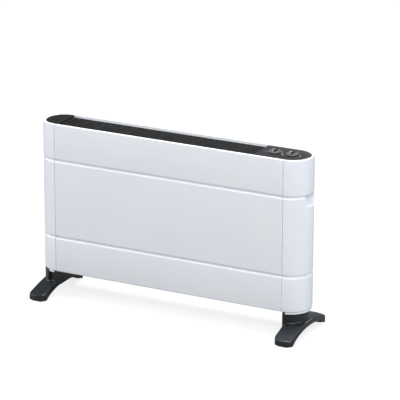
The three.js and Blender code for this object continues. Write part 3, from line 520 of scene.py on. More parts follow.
@dataclass(frozen=True)
class Finish:
    """What every finish has: a name, the record's slot, two close tones and a roughness."""

    name: str
    slot: Slot
    colour: Colour
    shade: Colour
    roughness: float = 0.5

    def fill(self, coat: Coat, effects: Effects) -> None:
        """Builds the coat's nodes, each kind of finish in its own way."""
        raise NotImplementedError

    def material(self, effects: Effects) -> Material:
        """Builds the material."""
        coat = Coat(self.name)
        self.fill(coat, effects)
        return coat.material


@dataclass(frozen=True)
class PaintedSheet(Finish):
    """Sprayed enamel on sheet steel: a satin coat with a trace of orange peel."""

    def fill(self, coat: Coat, effects: Effects) -> None:
        """Builds the coat's nodes."""
        peel = coat.effect(effects.grain, Scale=900.0, Contrast=0.12)
        cloud = coat.effect(effects.cloud, Scale=7.0, Amount=0.5)
        mask = coat.maths("ADD", cloud["Value"], 0.5)
        tinted = coat.blend(mask, self.shade, self.colour)
        coat.surface(tinted, self.roughness, peel, 0.08, 0.0001)
        coat.feed(coat.shader, {"Specular IOR Level": 0.4})


@dataclass(frozen=True)
class MouldedPlastic(Finish):
    """Injection-moulded plastic with a spark-eroded grain, and settled dust with a painted sheen
    on faces that look up.
    """

    grain_scale: float = 2600.0
    grain_depth: float = 0.12
    dust_and_sheen: float = 0.0
    dust_and_sheen_colour: Colour = (0.5, 0.5, 0.5, 1.0)
    gloss: float = 0.5

    def fill(self, coat: Coat, effects: Effects) -> None:
        """Builds the coat's nodes."""
        grain = coat.effect(effects.grain, Scale=self.grain_scale, Contrast=0.3)
        cloud = coat.effect(effects.cloud, Scale=24.0, Amount=0.5)
        mottled = coat.maths("ADD", cloud["Value"], grain["Shade"])
        colour = coat.blend(coat.maths("ADD", mottled, 0.5), self.shade, self.colour)
        # Faces that look up are lightened here: partly settled dust, partly a painted sheen of the
        # light from above.
        if self.dust_and_sheen > 0:
            dust_and_sheen = coat.effect(effects.dust_and_sheen, Scale=90.0, Amount=self.dust_and_sheen)
            colour = coat.blend(dust_and_sheen["Mask"], colour, self.dust_and_sheen_colour)
        coat.surface(colour, self.roughness, grain, self.grain_depth, 0.0002)
        coat.feed(coat.shader, {"Specular IOR Level": self.gloss})


@dataclass(frozen=True)
class RolledMetal(Finish):
    """Bare rolled, turned or extruded metal with fine streaks."""

    spangle: float = 0.0

    def fill(self, coat: Coat, effects: Effects) -> None:
        """Builds the coat's nodes."""
        streaks = coat.effect(effects.streaks, Scale=900.0, Contrast=0.5)
        mask = coat.maths("ADD", streaks["Shade"], 0.5)
        if self.spangle > 0:
            crystals = coat.effect(effects.spangle, Scale=150.0, Contrast=self.spangle)
            mask = coat.maths("ADD", mask, crystals["Shade"])
        tinted = coat.blend(mask, self.shade, self.colour)
        coat.surface(tinted, self.roughness, streaks, 0.12, 0.0001)
        coat.feed(coat.shader, {"Metallic": 1.0})


@dataclass(frozen=True)
class FiredCeramic(Finish):
    """Unglazed ceramic with a chalky speckle."""

    def fill(self, coat: Coat, effects: Effects) -> None:
        """Builds the coat's nodes."""
        speckle = coat.effect(effects.grain, Scale=1400.0, Contrast=1.6)
        mask = coat.maths("ADD", speckle["Shade"], 0.5)
        tinted = coat.blend(mask, self.shade, self.colour)
        coat.surface(tinted, self.roughness, speckle, 0.25, 0.0002)


ENAMEL = PaintedSheet(
    "white_enamel", Slot.ENAMEL, srgb(229, 233, 238), srgb(223, 227, 233), 0.42)
CAP = MouldedPlastic(
    "satin_white_plastic", Slot.WHITE_PLASTIC, srgb(233, 237, 245), srgb(228, 232, 241), 0.36,
    grain_depth=0.05)
# The grille and panel plastics take a faint grey lightening on their tops: settled dust and
# painted sheen.
BLACK = MouldedPlastic(
    "black_grille_plastic", Slot.BLACK_PLASTIC, srgb(18, 19, 20), srgb(10, 11, 12), 0.5,
    grain_depth=0.2, dust_and_sheen=0.01, gloss=0.35)
PANEL = MouldedPlastic(
    "grey_panel_plastic", Slot.GREY_PLASTIC, srgb(33, 32, 35), srgb(25, 24, 27), 0.5,
    grain_scale=1300.0, grain_depth=0.3, dust_and_sheen=0.012, gloss=0.35)
KNOB = MouldedPlastic(
    "satin_knob_plastic", Slot.BLACK_PLASTIC, srgb(36, 38, 38), srgb(26, 28, 28), 0.34,
    grain_depth=0.06)
# A lighter grey than the bar: the knob is two-tone, and the skirt's light tone also paints the
# sheen on its top.
SKIRT = MouldedPlastic(
    "knob_skirt_plastic_and_sheen", Slot.BLACK_PLASTIC, srgb(84, 85, 87), srgb(72, 73, 76), 0.36,
    grain_depth=0.06)
# A light insert on the bar's top front half and nose: partly a pointer mark, partly a painted
# highlight where the top catches the light.
POINTER = MouldedPlastic(
    "pointer_insert_and_highlight", Slot.BLACK_PLASTIC, srgb(154, 156, 159), srgb(140, 142, 146), 0.3)
PRINT = MouldedPlastic(
    "printed_scale", Slot.GREY_PLASTIC, srgb(162, 157, 150), srgb(144, 139, 134), 0.6)
# The feet's tops are lightened towards pale blue: a painted sheen, the reflection of the bright
# surroundings on them, with a little settled dust.
FOOT = MouldedPlastic(
    "charcoal_foot_plastic", Slot.FOOT_PLASTIC, srgb(23, 29, 34), srgb(17, 22, 27), 0.36,
    grain_scale=1500.0, grain_depth=0.16, dust_and_sheen=0.016, dust_and_sheen_colour=srgb(112, 126, 150))
RUBBER = MouldedPlastic(
    "pad_rubber", Slot.RUBBER, srgb(34, 34, 35), srgb(22, 22, 23), 0.85, grain_scale=1200.0,
    grain_depth=0.4, gloss=0.3)
ALUMINIUM = RolledMetal(
    "fin_aluminium", Slot.ALUMINIUM, srgb(196, 199, 203), srgb(160, 163, 168), 0.36)
ZINC = RolledMetal(
    "galvanised_sheet", Slot.GALVANISED, srgb(178, 182, 186), srgb(140, 144, 149), 0.42,
    spangle=0.5)
STEEL = RolledMetal("bright_steel", Slot.STEEL, srgb(176, 178, 182), srgb(140, 142, 146), 0.3)
CERAMIC = FiredCeramic(
    "bush_ceramic", Slot.CERAMIC, srgb(236, 229, 214), srgb(206, 196, 176), 0.7)
BROWN = MouldedPlastic("switch_moulding", Slot.BROWN, srgb(96, 66, 52), srgb(74, 50, 40))
RED = MouldedPlastic("red_lead", Slot.RED_LEAD, srgb(150, 48, 40), srgb(124, 38, 32), 0.55)
BLUE = MouldedPlastic("blue_lead", Slot.BLUE_LEAD, srgb(46, 82, 128), srgb(36, 64, 104), 0.55)


class Paintshop:
    """Builds each finish once and dresses pieces in it."""

    def __init__(self) -> None:
        """Builds the shared effects."""
        self.effects = Effects()
        self.ready: dict[str, Material] = {}

    def paint(self, piece: Piece, finish: Finish) -> None:
        """Gives a piece the finish's material and no other."""
        if finish.name not in self.ready:
            self.ready[finish.name] = finish.material(self.effects)
        piece.data.materials.clear()
        piece.data.materials.append(self.ready[finish.name])

    def dress(self, piece: Piece, finish: Finish, *nodes: str, body: Body = Body.CASE) -> None:
        """Dresses a piece in a finish, on its body, in place of any CAD nodes named."""
        self.paint(piece, finish)
        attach(piece, body.value)
        if nodes:
            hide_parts(*nodes)
        log.info("%s: %d faces", piece.name, len(piece.data.polygons))


# ---------------------------------------------------------------- casing


@dataclass
class Casing:
    """Front and rear panels and the two half-round end caps."""

    shop: Paintshop
    half_depth: float = 0.0525
    seam: float = 0.311
    bottom: float = 0.0665
    top: float = 0.450
    seam_gap: float = 0.0010
    panel_wall: float = 0.0016
    cap_wall: float = 0.0026
    rim_width: float = 0.0075
    rim_drop: float = 0.020
    rim_outer_radius: float = 0.0022
    rim_inner_radius: float = 0.0036
    flange: float = 0.012
    bottom_radius: float = 0.004
    groove_depth: float = 0.0035
    groove_above: float = 0.006
    groove_below: float = 0.004
    upper_groove: float = 0.356
    lower_groove: float = 0.1565
    crease: float = 0.0009
    grip_half_width: float = 0.023
    grip_height: float = 0.021
    grip_depth: float = 0.015
    grip_lip_drop: float = 0.014
    grip_wall: float = 0.0024
    grip_round: float = 2.4 * MM
    round_steps: int = 60

    def section(self, wall: float) -> list[Pair]:
        """Draws the wall's section as distance from the middle and height.

        Args:
            wall: The wall's thickness.

        Returns:
            The closed outline.
        """
        out = self.half_depth
        inn = out - wall
        rim = out - self.rim_width
        corners: list[Corner] = [
            (out - self.flange, self.bottom, 0),
            (out, self.bottom, self.bottom_radius),
        ]
        for groove in (self.lower_groove, self.upper_groove):
            corners += [
                (out, groove - self.groove_below, self.crease),
                (out - self.groove_depth, groove, self.crease),
                (out, groove + self.groove_above, self.crease),
            ]
        corners += [
            (out, self.top, self.rim_outer_radius),
            (rim, self.top, self.rim_inner_radius),
            (rim, self.top - self.rim_drop, 0),
            (rim + wall, self.top - self.rim_drop, 0),
            (inn, self.top - self.rim_drop - self.rim_width, 0),
        ]
        for groove in (self.upper_groove, self.lower_groove):
            corners += [
                (inn, groove + self.groove_above + wall, 0),
                (inn - self.groove_depth, groove, 0),
                (inn, groove - self.groove_below - wall, 0),
            ]
        corners += [
            (inn, self.bottom + wall, self.bottom_radius - wall),
            (out - self.flange, self.bottom + wall, 0),
        ]
        return rounded(corners, 6)

    def panel(self, name: str, side: int) -> Piece:
        """Builds a long panel, at the front where side is -1 and at the rear where it is 1."""
        end = self.seam - self.seam_gap
        outline = [Vector((-end, side * u, v)) for u, v in self.section(self.panel_wall)]
        return softened(pushed(drawn(name, outline), (2 * end, 0, 0)), 0.4 * MM, 3, 50)

    def grip(self, name: str, grow: float) -> Piece:
        """Builds the space of a grip recess at the +X end, or of its liner.

        Args:
            name: The tool's name.
            grow: How much it stands out all round.

        Returns:
            The solid.
        """
        outer = self.half_depth + MM
        back = self.half_depth - self.grip_depth - grow
        ceiling = self.upper_groove + self.groove_above + grow
        floor = self.upper_groove + self.groove_above - self.grip_height - grow
        corners: list[Corner] = [
            (back, floor, 4 * MM),
            (outer, floor - self.grip_lip_drop, 0),
            (outer, ceiling, 0),
            (back, ceiling, 3 * MM),
        ]
        half = self.grip_half_width + grow
        outline = [Vector((self.seam + u, -half, v)) for u, v in rounded(corners, 5)]
        tool = pushed(drawn(name, outline), (0, 2 * half, 0))
        deep = self.seam + back + MM

        def inner_side_edge(a: Vector, b: Vector) -> bool:
            """Whether an edge lies in one of the two sides, away from the opening."""
            in_side = abs(abs(a.y) - half) < WELD and abs(a.y - b.y) < WELD
            return in_side and min(a.x, b.x) < deep

        return mend(rounded_edges(tool, inner_side_edge, self.grip_round, 5))

    def cap(self) -> Piece:
        """Builds the cap of the +X end, with its grip recess."""
        axis = Vector((self.seam, 0, 0))
        section = [Vector((self.seam, -u, v)) for u, v in self.section(self.cap_wall)]
        piece = spun(drawn("right_cap", section), axis, UP, math.pi, self.round_steps)
        liner = self.grip("grip_liner", self.grip_wall)
        foot = Vector((self.seam, 0, self.bottom))
        radius = self.half_depth - self.cap_wall / 2
        trim = disc("grip_trim", foot, radius, self.top - self.bottom, 2 * self.round_steps)
        combine(liner, trim, "INTERSECT")
        combine(piece, liner, "UNION")
        combine(piece, self.grip("grip_space", 0), "DIFFERENCE")
        return softened(piece, 0.7 * MM, 3, 40, 32)

    def build(self) -> None:
        """Builds and dresses the casing."""
        for face, side in (("front", -1), ("rear", 1)):
            self.shop.dress(self.panel(f"{face}_sheet", side), ENAMEL, f"{face}_panel")
        right = self.cap()
        left = copied(right, "left_cap", HALF_TURN)
        self.shop.dress(right, CAP, "right_end_cap")
        self.shop.dress(left, CAP, "left_end_cap")
        for end in ("left", "right"):
            lid = softened(node_copy(f"{end}_cap_base", f"{end}_lid"), 0.25 * MM, 2, 40)
            self.shop.dress(lid, CAP, f"{end}_cap_base")


# ---------------------------------------------------------------- top: plates and grilles


@dataclass
class TopPlates:
    """The two skirted plates sunk in the rim, and the printed scales on the control panel."""

    shop: Paintshop
    seam: float = 0.311
    radius: float = 0.0446
    top: float = 0.4475
    thickness: float = 0.003
    skirt: float = 0.012
    skirt_wall: float = 0.002
    left_reach: float = 0.0025
    control_reach: float = 0.085
    shaft_hole: float = 0.0033
    knobs: Pair = (0.263, 0.308)
    flutes: int = 11
    flute_pitch: float = 0.00765
    flute_width: float = 0.0046
    flute_depth: float = 0.0011
    flute_edge: float = 0.0022
    print_lift: float = MM / 50
    print_height: float = 0.00012
    band_radius: float = 18.6 * MM
    band_steps: int = 40
    dot_step: float = 7.5

    def plate(self, name: str, reach: float) -> Piece:
        """Builds a plate at the +X end, reaching past the seam, with a skirt round its edge."""
        rim = arc((self.seam, 0), self.radius, -90, 90, 48)
        outline = [(self.seam - reach, -self.radius), *rim, (self.seam - reach, self.radius)]
        piece = slab(name, outline, self.top, -self.skirt)
        low = self.top - self.skirt + MM
        with editing(piece):
            pick_faces(piece, lambda centre, normal: normal.z < -FACING and centre.z < low)
            bpy.ops.mesh.inset(thickness=self.skirt_wall)
            extrude((0, 0, self.skirt - self.thickness))
        return mend(piece)

    def flute(self, plate: Piece) -> None:
        """Cuts shallow grooves along a plate at the +X end, in line with the grille's gaps."""
        inside = self.radius - self.flute_edge
        bed = self.top - self.flute_depth
        half = self.flute_width / 2
        foot = Vector((self.seam, 0, bed - MM))
        for i in range(self.flutes):
            y = (i - (self.flutes - 1) / 2) * self.flute_pitch
            low = Vector((self.seam - self.left_reach + self.flute_edge, y - half, bed))
            high = Vector((self.seam + self.radius, y + half, self.top + MM))
            cut = block(f"flute_{i}", low, high)
            combine(cut, disc("flute_trim", foot, inside, 4 * MM, 96), "INTERSECT")
            combine(plate, cut, "DIFFERENCE")

    def scale_arc(self, name: str, knob: float) -> Piece:
        """Prints a band round a knob that grows wider from its low to its high end."""
        inner = arc((knob, 0), self.band_radius, 172, 8, self.band_steps)
        outer = []
        for i, (u, v) in enumerate(inner):
            width = (0.4 + 0.8 * i / self.band_steps) * MM
            spoke = Vector((u - knob, v)).normalized()
            outer.append((u + spoke.x * width, v + spoke.y * width))
        outline = [*inner, *reversed(outer)]
        return slab(name, outline, self.top + self.print_lift, self.print_height)

    def dots(self, name: str, knob: float, angles: Sequence[float], spread: float) -> Piece:
        """Prints one dot more at each place round a knob."""
        marks = []
        level = self.top + self.print_lift
        for count, angle in enumerate(angles):
            for i in range(count + 1):
                lean = math.radians(angle + (i - count / 2) * self.dot_step)
                place = Vector((knob + spread * math.cos(lean), spread * math.sin(lean), level))
                size = 1.15 * MM if count else 1.7 * MM
                marks.append(disc(f"{name}_{len(marks)}", place, size, self.print_height, 20))
        return joined(name, marks)

    def build(self) -> None:
        """Builds and dresses the plates and their prints."""
        left = self.plate("left_plate", self.left_reach)
        self.flute(left)
        left.data.transform(HALF_TURN)
        self.shop.dress(softened(left, 0.7 * MM, 3, 40), BLACK, "left_top_plate")
        panel = self.plate("control_plate", self.control_reach)
        for knob in self.knobs:
            hole = disc("shaft_hole", Vector((knob, 0, self.top - 0.02)), self.shaft_hole, 0.03)
            combine(panel, hole, "DIFFERENCE")
        self.shop.dress(softened(panel, 0.6 * MM, 3, 40), PANEL, "control_panel")
        thermostat, selector = self.knobs
        prints = (
            self.scale_arc("thermostat_scale", thermostat),
            self.dots("thermostat_ends", thermostat, (-10, 199), 20.6 * MM),
            self.dots("selector_scale", selector, (205, 140, 70, 4), 21.5 * MM),
        )
        for piece in prints:
            self.shop.dress(piece, PRINT)


@dataclass
class Grille:
    """A flat frame with ribs across it and rounded slats along it."""

    shop: Paintshop
    name: str
    node: str
    start: float
    end: float
    half_depth: float
    low: float
    high: float
    frame: float
    bays: int
    rib: float
    rows: int = 1
    slat: float = 0.0
    rib_drop: float = 0.0002
    slat_drop: float = 0.2 * MM
    rounding: float = 0.0005

    def bars(self, kind: str, low: Vector, high: Vector, step: Vector, count: int) -> list[Piece]:
        """Models a bar with rounded long edges and copies it at equal steps."""
        model = block(kind, low, high)
        size = high - low
        run = 0 if size.x > size.y else 1
        rounded_edges(model, lambda a, b: abs(a[run] - b[run]) > MM, 0.32 * min(size), 3)
        places = [Matrix.Translation(step * (i + 1)) for i in range(count)]
        copies = [copied(model, f"{kind}_{i}", place) for i, place in enumerate(places)]
        bpy.data.objects.remove(model, do_unlink=True)
        return copies

    def build(self) -> None:
        """Builds and dresses the grille."""
        low = Vector((self.start, -self.half_depth, self.low))
        high = Vector((self.end, self.half_depth, self.high))
        piece = block(self.name, low, high)
        inside = self.half_depth - self.frame
        with editing(piece):
            pick_faces(piece, lambda centre, normal: abs(normal.z) > FACING)
            bpy.ops.mesh.inset(thickness=self.frame)
            bpy.ops.mesh.bridge_edge_loops()
        bevelled(mend(piece), self.rounding, 2, 40)
        bay = (self.end - self.start - 2 * self.frame + self.rib) / self.bays
        first = self.start + self.frame - self.rib
        rib_low = Vector((first, -inside - MM, self.low + self.rib_drop))
        rib_high = Vector((first + self.rib, inside + MM, self.high - self.rib_drop))
        bars = self.bars("rib", rib_low, rib_high, Vector((bay, 0, 0)), self.bays - 1)
        if self.rows > 1:
            row = (2 * inside + self.slat) / self.rows
            edge = -inside - self.slat
            slat_low = Vector((self.start + self.frame - MM, edge, self.low + self.slat_drop))
            slat_high = Vector(
                (self.end - self.frame + MM, edge + self.slat, self.high - self.slat_drop))
            bars += self.bars("slat", slat_low, slat_high, Vector((0, row, 0)), self.rows - 1)
        self.shop.dress(smoothed(joined(self.name, [piece, *bars]), 50), BLACK, self.node)


# ---------------------------------------------------------------- knobs


@dataclass
class Knob:
    """A round knob with a raised bar and a light insert along the bar's front half: a pointer mark
    that also paints the highlight of the bar's lit top.
    """

    shop: Paintshop
    name: str
    body: Body
    place: float
    base: float = 0.4483
    radius: float = 0.0155
    skirt: float = 0.003
    bar_length: float = 0.027
    bar_width: float = 0.007
    bar_height: float = 0.009
    inset: float = 0.0012
    sink: float = MM / 5

    def taper(self, piece: Piece, across: float, along: float, low: float = 0) -> None:
        """Draws level faces above a height in towards the knob's axis, as on a tapered bar."""
        crown = self.base + self.bar_height
        with editing(piece):
            pick_faces(piece, lambda middle, normal: normal.z > FACING and middle.z > low)
            bpy.ops.transform.resize(
                value=(across, along, 1), center_override=(self.place, 0, crown))

    def build(self) -> None:
        """Builds and dresses the knob's round skirt, its bar and the bar's insert."""
        centre = Vector((self.place, 0, self.base))
        skirt = disc(f"{self.name}_skirt", centre, self.radius, self.skirt, 72)
        rim = self.base + self.skirt - NEAR
        rounded_edges(skirt, lambda a, b: a.z > rim and b.z > rim, 1.2 * MM, 4)
        softened(skirt, 0.2 * MM, 2, 50, 45)
        self.shop.dress(skirt, SKIRT, f"{self.name}_knob", body=self.body)
        half = self.bar_width / 2
        reach = self.bar_length / 2 - half
        rear_end = arc((self.place, reach), half, 0, 180, 14)
        front_end = arc((self.place, -reach), half, 180, 360, 14)
        level = self.base + self.skirt - self.sink
        rise = self.bar_height - self.skirt + self.sink
        bar = slab(f"{self.name}_bar", [*rear_end, *front_end], level, rise)
        crown = self.base + self.bar_height
        self.taper(bar, 0.9, 0.97, crown - MM)
        top = crown - NEAR
        rounded_edges(bar, lambda a, b: a.z > top and b.z > top, 0.9 * MM, 4)
        with editing(bar):
            pick_faces(bar, lambda middle, normal: normal.z > LEVEL and middle.z > top)
            bpy.ops.mesh.inset(thickness=self.inset * 0.5)
            extrude((0, 0, -0.4 * MM))
        self.shop.dress(softened(mend(bar), 0.3 * MM, 2, 50, 45), KNOB, body=self.body)
        self.pointer(half, reach, level, crown)

    def pointer(self, half: float, reach: float, level: float, crown: float) -> None:
        """Builds the light insert on the bar's front half and down over its nose: a pointer mark,
        and a painted highlight where the bar's top and nose catch the light.

        Args:
            half: Half the bar's width.
            reach: From the axis to the centre of the bar's round nose.
            level: Height of the bar's foot.
            crown: Height of its top.
        """
        width = half - 0.9 * MM
        run = reach - 0.2 * MM
        rear_end = arc((self.place, -width - MM), width, 0, 180, 10)
        front_end = arc((self.place, -run), width, 180, 360, 10)
        name = f"{self.name}_pointer"
        strip = slab(name, [*rear_end, *front_end], crown - 0.38 * MM, 0.36 * MM)
        softened(strip, 0.12 * MM, 2, 50)
        shell = arc((self.place, -reach), half + 0.12 * MM, 210, 330, 16)
        heart = arc((self.place, -reach), half - 0.7 * MM, 330, 210, 16)
        low = level + MM
        nose = slab("nose", [*shell, *heart], low, crown - MM - low)
        self.taper(nose, 0.91, 0.975)
        softened(mend(nose), 0.15 * MM, 2, 50)
        self.shop.dress(joined(name, [strip, nose]), POINTER, body=self.body)


# ---------------------------------------------------------------- feet


def bend(a: Pair, b: Pair, c: Pair) -> list[Pair]:
    """Eight points on a quadratic curve from a, which is left out, by way of b to c."""
    def blended(k: int, t: float) -> float:
        """One coordinate, at a share of the way."""
        return (1 - t) ** 2 * a[k] + 2 * t * (1 - t) * b[k] + t * t * c[k]

    return [(blended(0, i / 8), blended(1, i / 8)) for i in range(1, 9)]


@dataclass
class Feet:
    """Two arched feet with round hollowed columns, and their rubber pads."""

    shop: Paintshop
    seam: float = 0.311
    floor: float = 0.0019
    shoulder: float = 0.0616
    prong: float = 0.0661
    length: float = 0.212
    inner: float = 0.003
    outer: float = 0.051
    forward: float = 0.003
    corner: float = 0.013
    bow: float = 0.004
    arch_height: float = 0.022
    arch_span: float = 0.179
    arch_steps: int = 32
    radius: float = 0.0519
    inner_face: float = 0.0005
    hollow: float = 0.0449
    column_foot: float = 0.0345
    slope: float = 0.294
    fillet: float = 0.005
    edge_round: float = 0.0024
    layers: int = 5
    left_hollows: tuple[Pair, ...] = ((-83, -62), (62, 83))
    right_hollows: tuple[Pair, ...] = ((-82, 60),)
    screws: tuple[Pair, ...] = ((0.027, -0.020), (0.027, 0.020))
    voxel: float = 0.0008
    attempts: int = 8

    def plan(self, middle: float, inset: float) -> list[Pair]:
        """Draws the foot's plan about the cap's axis.

        Args:
            middle: Where its middle lies along Y.
            inset: How far the outline lies inside the full one.

        Returns:
            The outline.
        """
        end = self.length / 2 - inset
        inner, outer = self.inner + inset, self.outer - inset
        rounding = self.corner - inset
        shoulder = end - self.bow / 2
        straight = end - self.bow - rounding
        tip = ((inner + outer) / 2, end + self.bow / 2)
        half: list[Pair] = [(outer, straight)]
        half += bend(half[-1], (outer, end - self.bow), (outer - rounding, shoulder))
        half += bend(half[-1], tip, (inner + rounding, shoulder))
        half += bend(half[-1], (inner, end - self.bow), (inner, straight))
        rear = [(u, v + middle) for u, v in half]
        front = [(u, middle - v) for u, v in reversed(half)]
        return [*rear, *front]

    def sector(self, span: Pair, inner: float) -> Piece:
        """Builds a tall solid between two angles in degrees and outside a radius."""
        rim = arc((0, 0), self.radius + 2 * self.fillet, *span, 48)
        heart = arc((0, 0), inner, span[1], span[0], 48)
        return slab("sector", [*rim, *heart], self.floor, self.prong + MM - self.floor)

    def upright(self, radius: float, face: float, low: float, high: float) -> Piece:
        """Builds a half-round upright whose flat side stands off the axis."""
        lean = math.degrees(math.asin(face / radius))
        return slab("upright", arc((0, 0), radius, -90 + lean, 90 - lean, 60), low, high - low)

    def prism(self, name: str, middle: float, inset: float = 0) -> Piece:
        """Builds the upright block over the foot's plan, or over one a little inside it."""
        return slab(name, self.plan(middle, inset), self.floor, self.shoulder - self.floor)

    def skirt(self, radius: float, hollows: Sequence[Pair], middle: float) -> Piece:
        """Builds the hollow-curved foot of an upright wall, trimmed to the foot's plan."""
        reach = radius + self.fillet
        base = self.column_foot + self.slope * (self.radius - reach)
        curve = arc((reach, base + self.fillet), self.fillet, 270, 180, 8)
        low = base - 2 * MM
        section = [(radius - MM, low), (reach, low), *curve, (radius - MM, base + self.fillet)]
        profile = drawn("skirt", [Vector((0, -u, v)) for u, v in section])
        ring = spun(profile, Vector((0, 0, 0)), UP, math.pi, 60)
        for span in hollows:
            combine(ring, self.sector(span, 5 * MM), "DIFFERENCE")
        return combine(ring, self.prism("skirt_trim", middle), "INTERSECT")

    def column(self, hollows: Sequence[Pair]) -> Piece:
        """Builds the column with its space for the lid, hollowed over spans in degrees."""
        low = self.floor + self.arch_height
        column = self.upright(self.radius, self.inner_face, low, self.prong)
        lid_space = self.upright(self.hollow + 0.4 * MM, 0, self.shoulder, self.prong + MM)
        combine(column, lid_space, "DIFFERENCE")
        for span in hollows:
            combine(column, self.sector(span, self.hollow), "DIFFERENCE")
        return column

    def spread(self, name: str, middle: float) -> Piece:
        """Builds the foot's sloping part in nested layers that round its top edge.

        Args:
            name: The piece's name.
            middle: Where its middle lies along Y.

        Returns:
            The solid.
        """
        layers = []
        for step in range(self.layers):
            lean = math.pi / 2 * step / (self.layers - 1)
            inset = self.edge_round * (1 - math.sin(lean))
            drop = self.edge_round * (1 - math.cos(lean))
            layer = self.prism(f"{name}_{step}", middle, inset)
            height = self.column_foot + self.slope * self.radius - self.floor - drop
            only()
            bpy.ops.mesh.primitive_cone_add(
                vertices=160, radius1=height / self.slope, radius2=0, depth=height,
                location=(0, 0, self.floor + height / 2),
            )
            layers.append(combine(layer, added("slope"), "INTERSECT"))
        for layer in layers[1:]:
            combine(layers[0], layer, "UNION")
        layers[0].name = name
        return layers[0]

    def arch(self, middle: float) -> Piece:
        """Builds the space of the arch under the foot, whose middle lies there along Y."""
        half = self.arch_span / 2
        points = [(half, -5 * MM)]
        for i in range(self.arch_steps + 1):
            across = math.cos(math.pi * i / self.arch_steps)
            rise = self.arch_height * max(1 - across * across, 0) ** 0.75
            points.append((half * across, self.floor + rise))
        points.append((-half, -5 * MM))
        outline = [Vector((-0.08, middle + u, v)) for u, v in points]
        return pushed(drawn("arch", outline), (0.16, 0, 0))

    def solid(self, name: str, middle: float, hollows: Sequence[Pair]) -> Piece:
        """Unites a foot's solids and cuts its arch and screw wells, with all edges sharp."""
        piece = self.spread(name, middle)
        combine(piece, self.column(hollows), "UNION")
        combine(piece, self.skirt(self.hollow, (), middle), "UNION")
        combine(piece, self.skirt(self.radius, hollows, middle), "UNION")
        combine(piece, self.arch(middle), "DIFFERENCE")
        for x, y in self.screws:
            well = disc("well", Vector((x, y, 0)), 5 * MM, self.shoulder - 12 * MM)
            combine(piece, well, "DIFFERENCE")
        return piece

    def foot(self, name: str, middle: float, hollows: Sequence[Pair]) -> Piece:
        """Builds a foot about the cap's axis, for the +X end.

        Blender's unions leave the solid open in about one run of ten. Its remesh would be a
        thin shell then, so an open solid is made again.

        Args:
            name: The piece's name.
            middle: Where its middle lies along Y.
            hollows: Spans of its column's hollows.

        Returns:
            The foot.
        """
        piece = self.solid(name, middle, hollows)
        for _ in range(self.attempts):
            if closed(piece):
                break
            log.info("%s: open solid, made again", name)
            bpy.data.objects.remove(piece, do_unlink=True)
            piece = self.solid(name, middle, hollows)
        modify(piece, "REMESH", mode="VOXEL", voxel_size=self.voxel, use_smooth_shade=True)
        modify(piece, "CORRECTIVE_SMOOTH", factor=0.6, iterations=4, use_only_smooth=True)
        modify(piece, "DECIMATE", decimate_type="COLLAPSE", ratio=0.45)
        return smoothed(piece, 60)

    def build(self) -> None:
        """Builds and dresses the feet and pads."""
        ends = (("left", -1, self.left_hollows), ("right", 1, self.right_hollows))
        for end, side, hollows in ends:
            piece = self.foot(f"{end}_stand", -side * self.forward, hollows)
            place = Matrix.Translation((side * self.seam, 0, 0))
            piece.data.transform(place @ HALF_TURN if side < 0 else place)
            self.shop.dress(piece, FOOT, f"{end}_foot")
            for where in ("front", "rear"):
                pad = block(f"{end}_{where}_rubber", *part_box(f"{end}_{where}_pad"))
                rounded_edges(pad, lambda a, b: abs(a.z - b.z) > MM, 5 * MM, 6)
                self.shop.dress(softened(pad, 0.35 * MM, 2, 40), RUBBER, f"{end}_{where}_pad")


# ---------------------------------------------------------------- rear fixings


